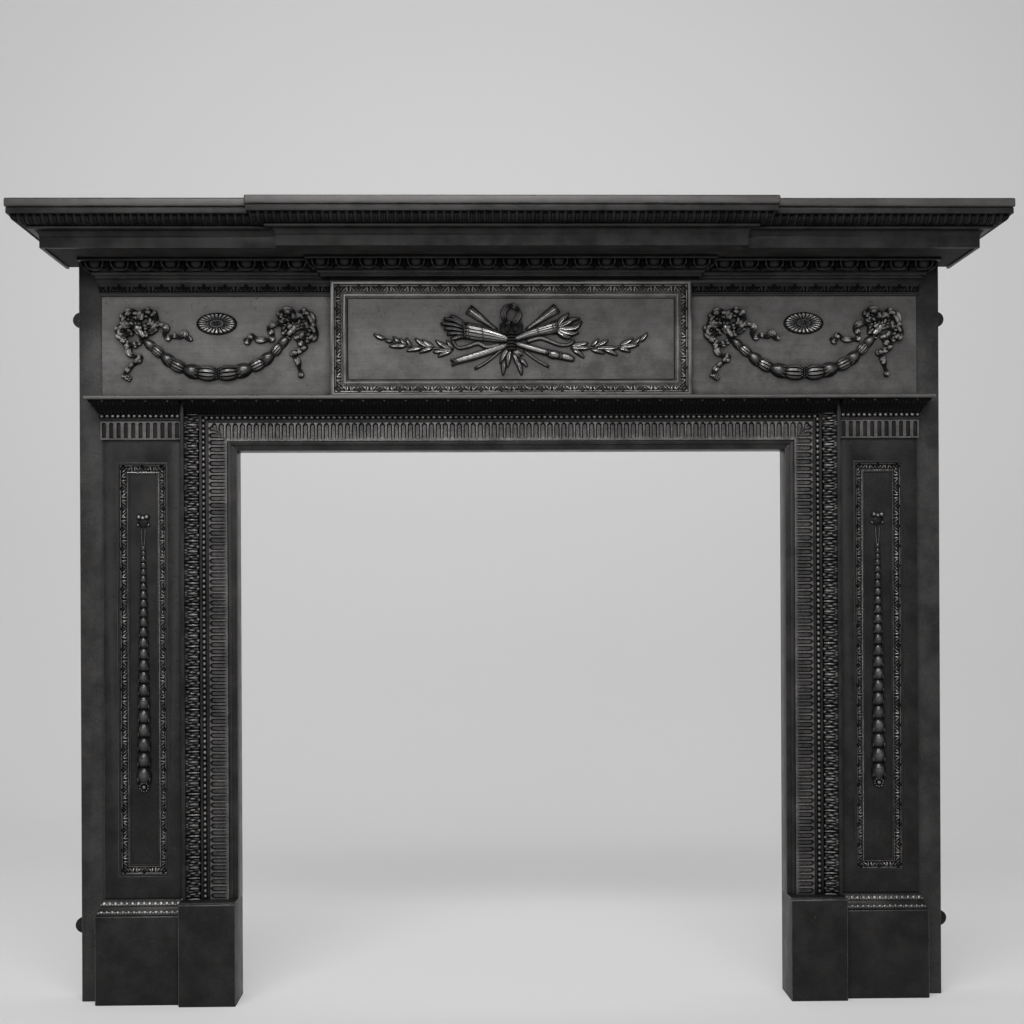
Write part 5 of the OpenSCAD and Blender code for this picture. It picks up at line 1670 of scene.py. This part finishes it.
@dataclass
class Architrave:
    """The moulded frame of the opening: a lintel and two legs, mitred at the corners."""

    site: Site
    foot: float = 170.0  # height of the legs' feet, on the blocks
    half: float = 457.0
    high: float = 914.0
    web: float = 46.0  # how far the flat web stands out
    web_back: float = 40.0  # its back
    wall: float = 6.0
    band: float = 9.5  # width of the plain band round the opening
    fillet: Point = (14.0, 48.5)  # outer edge of the fillet round it, and how far it stands out
    flutes: Triple = (15.0, 46.0, 50.0)  # first and last edge of the fluted band, and how far it stands out
    # where the fluted band has lines across
    flute_marks: tuple[float, ...] = (2.35, 2.65, 8, 20, 25.3, 26.3, 27.2, 27.9, 28.4, 28.7)
    beads: Point = (51.2, 57.8)  # first and last edge of the beads
    mitre_to: float = 62.0  # last edge of the members that go round the corners
    leaf_to: float = 85.0  # last edge of the leaves up the legs
    outer: float = 90.5  # outer edge of a leg
    strip_p: float = 62.0  # how far its outer strip stands out
    return_p: float = 10.0  # where the strip's outer side starts
    leaf_foot_z: float = 974.0  # where the leaves up the legs end
    top: float = 995.5

    def course(self, leg: int) -> Course:
        """The edge of the opening."""
        return Course(Plane.FACE, ((self.half, self.foot), (self.half, self.high), (-self.half, self.high),
                                   (-self.half, self.foot)), (leg,))

    def upright(self, side: Side, top: float) -> Course:
        """The upright edge of the opening on one side, from the legs' feet to a height."""
        ends = ((side.value * self.half, self.foot), (side.value * self.half, top))
        return Course(Plane.FACE, ends if side is Side.RIGHT else ends[::-1])

    def mitred(self, mould: Mould, leg: int) -> None:
        """Adds the members that go round the corners.

        Args:
            mould: the casting they belong to.
            leg: number of the leg.
        """
        course = self.course(leg)
        start, end, flute_p = self.flutes
        mould.run(course, [(0.0, 0.0), (0.0, self.web), (self.band, self.web), (self.band, self.fillet[1]),
                           (self.fillet[0], self.fillet[1]), (self.fillet[0], self.web - 0.8),
                           (start, self.web - 0.8), (start, self.web), (self.mitre_to, self.web),
                           (self.mitre_to, self.web_back), (self.wall, self.web_back), (self.wall, 0.0)],
                  soft=0.7)
        face = [(start, self.web - 0.4), (start + 0.02, flute_p - 0.5), (start + 0.5, flute_p),
                *((start + mark, flute_p) for mark in self.flute_marks),
                (end - 0.5, flute_p), (end - 0.02, flute_p - 0.5), (end, self.web - 0.4)]
        mould.carve(course, face, [(end, self.web - 1.2), (start, self.web - 1.2)], FLUTES)
        low, high = self.beads
        mould.carve(course, straight((low, self.web + 0.1), (high, self.web + 0.1), BEAD_MARKS),
                    [(high, self.web - 0.8), (low, self.web - 0.8)], BEADS)

    def build_leg(self, side: Side) -> None:
        """Casts one leg.

        Args:
            side: the side.
        """
        mould = Mould(self.site)
        self.mitred(mould, 0 if side is Side.RIGHT else 2)
        edge, back = self.mitre_to + 0.2, self.web_back + 0.5
        bend = quarter((self.leaf_to - 0.2, self.web + 12), (self.mitre_to + 0.4, self.web + 3.5), 16)
        leaf = [*straight((edge, self.web), (edge, self.web + 3), (0.0, BAR_EDGE)), *bend[::-1]]
        mould.carve(self.upright(side, self.leaf_foot_z), leaf,
                    [(self.leaf_to - 0.2, back), (self.mitre_to, back)], ACANTHUS)
        inside = self.outer - self.wall
        mould.run(self.upright(side, self.top), [(self.leaf_to, self.web_back), (self.leaf_to, self.strip_p),
                                                 (self.outer, self.strip_p), (self.outer, self.return_p),
                                                 (inside, self.return_p), (inside, self.web_back)], soft=0.8)
        x0, x1 = sorted(side.value * (self.half + reach) for reach in (self.mitre_to, self.leaf_to + 0.5))
        mould.slab(Span(x0, x1, self.web_back, self.web, self.leaf_foot_z - 20, self.top), 0)
        mould.pour(side.node("architrave"), Finish.CAST)

    def build_lintel(self) -> None:
        """Casts the lintel with the web behind the leaves over it."""
        mould = Mould(self.site)
        self.mitred(mould, 1)
        reach = self.half + self.mitre_to
        mould.slab(Span(-reach, reach, self.web_back, self.web, self.high + self.mitre_to - 1, self.top), 0)
        mould.pour("lintel", Finish.CAST)


def hanging_face(top: Point, foot: Point, lip: float = 1.2, sag: float = 1.4) -> list[Point]:
    """Draws the surface that the leaves under the ledge hang on.

    Args:
        top: top of its lip.
        foot: foot of its slope.
        lip: height of the lip.
        sag: how far the slope's middle lies inwards.

    Returns:
        Its points.
    """
    edge = (top[0], top[1] - lip)
    x, z = halfway(edge, foot)
    return [top, *straight(edge, (x + sag, z), (0, 0.2, 0.4, 0.6, 0.8)),
            *straight((x + sag, z), foot, (0, 0.25, 0.5, 0.75, 1))]


@dataclass
class LintelLeaf:
    """The leaf moulding under the ledge, over the lintel."""

    site: Site
    foot_p: float = 53.0  # how far the foot of the leaves stands out

    def build(self) -> None:
        """Casts the moulding."""
        span = self.site.span("lintel_leaf")
        course = Course(Plane.PLAN, ((span.x0, span.p1), (span.x1, span.p1)))
        mould = Mould(self.site)
        deep = span.p1 - self.foot_p
        mould.carve(course, hanging_face((0.0, span.z1), (deep, span.z0 + 0.2)),
                    [(span.p1 - span.p0, span.z0 + 0.2), (span.p1 - span.p0, span.z1)], LEDGE_LEAF)
        mould.pour("lintel_leaf", Finish.CAST)


# ---- pilasters ----


@dataclass
class Capital:
    """The capital of a pilaster: fluted necking, beads and leaves, returned at the outer side.

    Its members are placed by height and by how far they stand off the pilaster's own faces.
    """

    site: Site
    face: float = 51.0  # how far the pilaster's face stands out
    return_p: float = 41.0  # where the return starts
    side_share: float = 0.7  # how far the return's members stand off, against the front's
    body_half: float = 677.0  # distance of the pilaster's outer side from the surround's middle
    joint: float = 547.5  # distance of its inner end
    necking: Triple = (931.5, 962.0, 4.0)  # foot, top and face of the fluted necking
    neck_ground: float = 2.4  # how far the ground of the flutes lies below that face
    # where the necking has lines across
    neck_marks: tuple[float, ...] = (0, 2.1, 2.5, 3.0, 3.7, 4.6, 5.8, 7, 16, 26, 27.3, 27.7, 30.5)
    quirk: Point = (963.5, 3.0)  # foot and face of the quirk over it
    fillet: Point = (967.0, 6.0)  # foot and face of the fillet over that
    bead_z: float = 970.0
    bead_wide: float = 6.6
    leaf_foot: Point = (974.0, 9.0)  # foot and face of the leaves
    leaf_top: Point = (995.5, 29.0)  # top and face of the leaves
    cover: float = 2.5  # how far the casting laps behind the pilaster's face

    def build(self, side: Side) -> None:
        """Casts one capital.

        Args:
            side: the side.
        """
        low, high, neck = self.necking
        (quirk_z, quirk), fillet, inside = self.quirk, self.fillet[1], self.cover
        (leaf_z, leaf_out), (top_z, top_out) = self.leaf_foot, self.leaf_top
        ground = -neck + self.neck_ground
        course = corner_course(side, self.body_half, self.joint, self.return_p, self.face, self.side_share)
        mould = Mould(self.site)
        mould.run(course, [(-fillet, leaf_z), (-fillet, quirk_z), (-quirk, quirk_z), (-quirk, high),
                           (ground, high), (ground, low), (inside, low), (inside, leaf_z)], soft=0.6)
        mould.carve(course, [(-neck, high - mark) for mark in self.neck_marks],
                    [(inside, low), (inside, high)], NECK_FLUTES)
        bead_top, bead_foot = self.bead_z + self.bead_wide / 2, self.bead_z - self.bead_wide / 2
        mould.carve(course, straight((-fillet, bead_top), (-fillet, bead_foot), BEAD_MARKS),
                    [(inside, bead_foot), (inside, bead_top)], BEADS)
        mould.carve(course, hanging_face((-top_out, top_z), (-leaf_out, leaf_z + 0.2)),
                    [(inside, leaf_z + 0.2), (inside, top_z)], LEDGE_LEAF)
        mould.pour(side.node("capital"), Finish.CAST)


@dataclass
class Panel:
    """The sunk panel of a pilaster: a leaf frame round a polished field."""

    site: Site
    lap: float = 4.0  # width of the rim behind the pilaster
    lap_drop: float = 6.0  # how far that rim lies behind the panel's front
    rim_to: float = 3.2  # width as far as the inner edge of the front rim
    leaf_to: float = 16.0  # width as far as that of the leaves
    bead_to: float = 18.8  # width as far as that of the fillet inside them
    groove_to: float = 20.5  # width of the whole frame
    leaf_drop: float = 6.4  # how far the leaves' inner edge lies behind the front
    fillet_drop: float = 6.2  # how far the fillet does
    ground_drop: float = 7.6  # how far the ground behind the leaves does
    field_drop: float = 8.0  # how far the field does
    groove_drop: float = 8.4  # how far the groove round the field does

    def build(self, side: Side) -> None:
        """Casts one panel.

        Args:
            side: the side.
        """
        node = side.node("panel")
        whole = self.site.span(node)
        lap, face = self.lap, whole.p1
        x0, x1, z0, z1 = whole.x0 + lap, whole.x1 - lap, whole.z0 + lap, whole.z1 - lap
        course = Course(Plane.FACE, ((x0, z0), (x0, z1), (x1, z1), (x1, z0)), closed=True)
        rim, ground, fillet = face - self.lap_drop, face - self.ground_drop, face - self.fillet_drop
        groove, back = face - self.groove_drop, ground - 0.4
        mould = Mould(self.site)
        mould.slab(Span(x0 + 1, x1 - 1, whole.p0, face - self.field_drop, z0 + 1, z1 - 1), 0)
        mould.run(course, [(-lap, whole.p0), (-lap, rim), (0.0, rim), (0.0, face), (self.rim_to, face),
                           (self.rim_to, ground), (self.leaf_to + 1.0, ground), (self.leaf_to + 1.2, fillet),
                           (self.bead_to, fillet), (self.bead_to + 0.4, groove), (self.groove_to, groove),
                           (self.groove_to, whole.p0)], soft=0.4)
        start = self.rim_to + 0.2
        mould.carve(course, straight((start, face - 0.1), (self.leaf_to, face - self.leaf_drop), EVEN_MARKS),
                    [(self.leaf_to, back), (start, back)], FRAME_LEAF, second=True)
        mould.pour(node, Finish.FIELD, Finish.CURLS)


HUSK = Limb((), half=(0.6, 1.0, 1.08, 1.0, 0.5), rise=(0.8, 1.05, 1.0, 0.7, 0.4), steps=9, shine=0.72)
HUSK_TIP = Limb((), half=(0.16, 0.2, 0.1), rise=(0.6, 0.7, 0.3), steps=4, shine=0.8)
WIRE = Limb((), half=(0.9,), rise=(2.4,), steps=8)
NECK_BELL = Limb(((0, 2), (0, -6), (0, -11)), half=(5.6, 9.4, 6.0), rise=(3.0, 3.6, 2.4), steps=6, shine=0.1)


@dataclass
class HuskDrop:
    """The string of husks down each pilaster panel, smallest at its top."""

    site: Site
    field_p: float = 43.0  # the field it lies on
    top_z: float = 800.0  # height of the rosette that it hangs from
    foot_z: float = 362.0  # foot of the last husk
    berry_z: float = 356.0  # middle of the ring of berries at its foot
    narrow: float = 7.4  # width of the first husk
    broad: float = 23.4  # width of the last
    count: int = 23
    stems: float = 44.0  # how far the husks start below the rosette
    ring: float = 7.0  # radius of the ring of berries
    ring_count: int = 10  # number of berries in it

    def build(self, side: Side) -> None:
        """Casts one drop.

        Args:
            side: the side.
        """
        node = side.node("husk_drop")
        x = self.site.span(node).mid_x
        mould = Mould(self.site)
        self.rosette(mould, Seat(x, self.top_z, self.field_p))
        widths = np.linspace(self.narrow, self.broad, self.count)
        z = self.top_z - self.stems
        for wide, long in zip(widths, widths / widths.sum() * (z - self.foot_z)):
            self.husk(mould, Seat(x, z, self.field_p), float(wide), float(long))
            z -= float(long)
        seat = Seat(x, self.berry_z, self.field_p)
        turns = np.linspace(0, 2 * math.pi, self.ring_count, endpoint=False)
        mould.berries(((0.0, 0.0),), 5.0, 7.6, seat)
        mould.berries([(self.ring * math.sin(t), self.ring * math.cos(t)) for t in turns], 2.3, 5.6, seat)
        mould.pour(node, Finish.ORNAMENT)

    def husk(self, mould: Mould, seat: Seat, wide: float, long: float) -> None:
        """Adds one husk.

        Args:
            mould: the casting it belongs to.
            seat: its stem.
            wide: its width.
            long: its length.
        """
        half = wide / 2
        mould.limb(HUSK.sized(half).along((0, 0), (0, -long / 2), (0, -long)), seat)
        for x in (-half, half):
            mould.limb(HUSK_TIP.sized(half).along((0.78 * x, -long * 0.5), (0.86 * x, -long * 1.02)), seat)

    def rosette(self, mould: Mould, seat: Seat) -> None:
        """Adds the three lobes, the bell and the wires that the husks hang from.

        Args:
            mould: the casting they belong to.
            seat: their middle.
        """
        mould.berries(((-6.4, 4.5), (6.4, 4.5), (0.0, 3.0)), 4.6, 7.4, seat)
        mould.limb(NECK_BELL, seat)
        mould.berries(((-8.6, -9.0), (8.6, -9.0)), 2.6, 3.6, seat)
        for sign in (-1, 1):
            mould.limb(WIRE.along((3.4 * sign, -12), (2.6 * sign, -30), (1.0 * sign, -self.stems - 4)), seat)


@dataclass
class BaseMould:
    """The moulded base between plinth and pilaster: two rows of small leaves and a hollow."""

    site: Site
    face: float = 51.0  # how far the pilaster's face stands out
    return_p: float = 41.0  # where the return starts
    side_share: float = 12.5 / 19  # how far the return's members stand off, against the front's
    joint: float = 550.5  # distance of its inner end from the surround's middle
    body_half: float = 677.0  # distance of the pilaster's outer side
    # points of the fillet and the ground under its top, as distance off the face and below the top
    neck: tuple[Point, ...] = ((-3.0, 0.0), (-3.0, 2.0), (-4.4, 2.2), (-4.4, 10.0), (-7.4, 10.0))
    # points of the ground and the fillet at its foot, as distance in from the front and height
    foot: tuple[Point, ...] = ((4.2, 8.0), (4.2, 3.0), (0.0, 3.0), (0.0, 0.0))
    # first and last edge of the upper leaves, as neck has them
    high_leaf: tuple[Point, Point] = ((-4.6, 2.0), (-9.8, 9.6))
    # first and last edge of the lower leaves, as foot has them
    low_leaf: tuple[Point, Point] = ((7.4, 11.2), (0.4, 3.2))
    cover: float = 2.5  # how far the casting laps behind the pilaster's face

    def build(self, side: Side) -> None:
        """Casts one base.

        Args:
            side: the side.
        """
        node = side.node("base_mould")
        span = self.site.span(node)
        course = corner_course(side, self.body_half, self.joint, self.return_p, self.face, self.side_share)
        foot, top, out = span.z0, span.z1, span.p1 - self.face
        mould = Mould(self.site)
        mould.run(course, [*((a, top - drop) for a, drop in self.neck),
                           *((a - out, foot + z) for a, z in self.foot),
                           (self.cover, foot), (self.cover, top)], soft=0.6)
        rows = (tuple((a, top - drop) for a, drop in self.high_leaf),
                tuple((a - out, foot + z) for a, z in self.low_leaf))
        for start, end in rows:
            mould.carve(course, straight(start, end, EVEN_MARKS[::2]),
                        [(0.0, end[1]), (0.0, start[1])], SMALL_LEAF, second=True)
        mould.pour(node, Finish.CAST, Finish.CURLS)


# ---- the rest of the castings ----


@dataclass
class Plainwork:
    """The plain castings, poured again with soft arrises, and what stays as the frame has it."""

    site: Site
    frame: dict
    # node names, finish and width of the soft arris
    recasts: tuple[tuple[str, Finish, float], ...] = (
        ("shelf_plate", Finish.SHELF, 2.4), ("ledge", Finish.SHELF, 1.1),
        ("pilaster_left", Finish.PLAIN, 0.9), ("pilaster_right", Finish.PLAIN, 0.9),
        ("plinth_left", Finish.PLAIN, 1.3), ("plinth_right", Finish.PLAIN, 1.3),
        ("block_left", Finish.PLAIN, 1.2), ("block_right", Finish.PLAIN, 1.2),
        ("side_return_left", Finish.RETURN, 1.0), ("side_return_right", Finish.RETURN, 1.0),
        ("fixing_lugs", Finish.PLAIN, 0.8))
    # finish and node names of the castings that stay as they are
    dressed: tuple[tuple[Finish, tuple[str, ...]], ...] = (
        (Finish.PANEL, ("frieze_left", "frieze_right", "tablet_plate")),
        (Finish.ROUGH, ("soffit_plate", "shelf_rail", "shelf_ribs", "tie_bars", "corner_plates")),
        (Finish.STEEL, ("leg_bolts", "leg_nuts", "frame_screws")))

    def build(self) -> None:
        """Pours the plain castings again."""
        for node, finish, soft in self.recasts:
            recast(self.site, self.frame, node, finish, soft)

    def dress(self) -> None:
        """Gives the castings that stay their finishes."""
        for finish, nodes in self.dressed:
            for node in nodes:
                for slot in self.frame["nodes"][node].material_slots:
                    slot.material = finish.iron.material()
                log.info("%s: dressed in %s", node, finish.iron.name)


# ---- studio ----


@dataclass(frozen=True)
class Lamp:
    """A broad soft lamp, in metres and watts."""

    name: str
    place: Triple
    wide: float
    high: float
    power: float
    aim: Triple = (0.0, 0.0, 0.9)


@dataclass
class Studio:
    """A pale floor that sweeps up into the background, soft light, and the camera."""

    site: Site
    stand_off: float = 2.69029  # metres from the wall to the camera
    across: float = -0.05526  # metres from the surround's middle to the camera
    eye: float = 0.68128  # metres from the floor to the camera
    yaw: float = 0.02006  # how far the camera is turned, in radians
    roll: float = -0.00457  # how far it leans
    lens: float = 55.80
    shift: Point = (0.00097, 0.0757)  # how far its picture is moved, as shares of the width
    floor_half: float = 18.0  # half the width of the floor, in metres
    floor_front: float = 20.0  # metres of it before the wall
    wall_high: float = 6.0  # metres that its rims rise
    sweep_at: float = 1.9  # metres from the wall to where the floor starts to rise
    sweep_radius: float = 0.9  # radius of the rise, in metres
    floor_level: float = 0.5
    floor_glow: float = 0.28  # how much brighter it is seen and reflected
    ambient: float = 0.05  # strength of the light from all round
    lamps: tuple[Lamp, ...] = (
        Lamp("key", (-0.9, -3.2, 1.9), 2.2, 1.0, 33.0), Lamp("fill", (1.3, -3.2, 1.9), 1.3, 1.0, 11.0),
        Lamp("strip", (-0.3, -2.0, 3.0), 2.8, 0.5, 64.0),
        Lamp("backdrop", (0.0, 0.4, 2.3), 3.4, 0.5, 26.0, aim=(0.0, 2.8, 0.9)))

    def build(self) -> None:
        """Sets the whole studio."""
        self.backdrop()
        self.lights()
        self.camera()
        bpy.context.scene.view_settings.view_transform = "Standard"

    def backdrop(self) -> None:
        """Lays the floor as the foot of an open box, whose walls sweep up from it."""
        back = self.site.wall + self.sweep_at + self.sweep_radius
        low = Vector((-self.floor_half, self.site.wall - self.floor_front, 0))
        high = Vector((self.floor_half, back, self.wall_high))
        shell = bmesh.new()
        place = Matrix.Translation((low + high) / 2) @ Matrix.Diagonal((*(high - low), 1.0))
        bmesh.ops.create_cube(shell, size=1.0, matrix=place)
        lid = [f for f in shell.faces if all(v.co.z > self.sweep_radius for v in f.verts)]
        bmesh.ops.delete(shell, geom=lid, context="FACES")
        bmesh.ops.bevel(shell, geom=[e for e in shell.edges if not e.is_boundary], offset=self.sweep_radius,
                        segments=12, profile=0.5, affect="EDGES", material=-1)
        bmesh.ops.recalc_face_normals(shell, faces=shell.faces)
        bmesh.ops.reverse_faces(shell, faces=shell.faces)
        mesh = bpy.data.meshes.new("studio_floor")
        shell.to_mesh(mesh)
        shell.free()
        mesh.shade_smooth()
        material = bpy.data.materials.new("pale_floor")
        material.use_nodes = True
        sheet = Sheet(material)
        camera, glossy, through = (sheet.node("LightPath", f"Is {ray} Ray", {})
                                   for ray in ("Camera", "Glossy", "Transmission"))
        seen = sheet.maths("MAXIMUM", camera, sheet.maths("MAXIMUM", glossy, through))
        sheet.feed(sheet.skin, {"Base Color": (self.floor_level,) * 3, "Roughness": 0.8,
                                "Specular IOR Level": 0.2, "Emission Color": WHITE,
                                "Emission Strength": sheet.times(seen, self.floor_glow)})
        mesh.materials.append(material)
        floor = bpy.data.objects.new("studio_floor", mesh)
        bpy.context.scene.collection.objects.link(floor)
        floor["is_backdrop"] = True

    def lights(self) -> None:
        """Hangs the lamps and sets the faint light from all round."""
        world = bpy.data.worlds.new("studio")
        world.use_nodes = True
        sky = world.node_tree.nodes["Background"]
        sky.inputs["Color"].default_value = (*WHITE, 1)
        sky.inputs["Strength"].default_value = self.ambient
        bpy.context.scene.world = world
        for light in self.lamps:
            lamp = bpy.data.lights.new(light.name, "AREA")
            lamp.shape = "RECTANGLE"
            lamp.size, lamp.size_y = light.wide, light.high
            lamp.energy = light.power
            hung = bpy.data.objects.new(light.name, lamp)
            hung.location = light.place
            way = Vector(light.aim) - Vector(light.place)
            hung.rotation_euler = way.to_track_quat("-Z", "Y").to_euler()
            bpy.context.scene.collection.objects.link(hung)

    def camera(self) -> None:
        """Sets the camera where the photograph was taken from."""
        lens = bpy.data.cameras.new("view")
        lens.lens, lens.sensor_width = self.lens, 36.0
        lens.shift_x, lens.shift_y = self.shift
        camera = bpy.data.objects.new("view", lens)
        place = Matrix.Translation((self.across, self.site.wall - self.stand_off, self.eye))
        camera.matrix_world = (place @ Matrix.Rotation(-self.yaw, 4, "Z")
                               @ Matrix.Rotation(math.pi / 2, 4, "X") @ Matrix.Rotation(self.roll, 4, "Z"))
        bpy.context.scene.collection.objects.link(camera)
        bpy.context.scene.camera = camera


def write_sizes(before: tuple[Vector, Vector]) -> None:
    """Gathers the frame's box and the finished model's box, without writing them anywhere.

    Args:
        before: the frame's box, straight after loading.
    """
    boxes = {"frame": before, "visual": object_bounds()}
    {name: [list(corner) for corner in box] for name, box in boxes.items()}


def main() -> None:
    """Builds the surround round its frame, then the studio."""
    logging.basicConfig(level=logging.INFO, format="%(message)s")
    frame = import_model()
    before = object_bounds()
    site = Site(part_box("side_return_left")[1].y)
    Cornice(site).build()
    EggAndDart(site).build()
    TabletFrame(site).build()
    Trophy(site).build()
    garlands = Garlands(site)
    garlands.build_bows()
    garlands.build_paterae()
    architrave = Architrave(site)
    architrave.build_lintel()
    LintelLeaf(site).build()
    for side in Side:
        FriezeCap(site).build(side)
        garlands.build(side)
        architrave.build_leg(side)
        Capital(site).build(side)
        Panel(site).build(side)
        HuskDrop(site).build(side)
        BaseMould(site).build(side)
    plainwork = Plainwork(site, frame)
    plainwork.build()
    plainwork.dress()
    Studio(site).build()
    write_sizes(before)


if __name__ == "__main__":
    main()
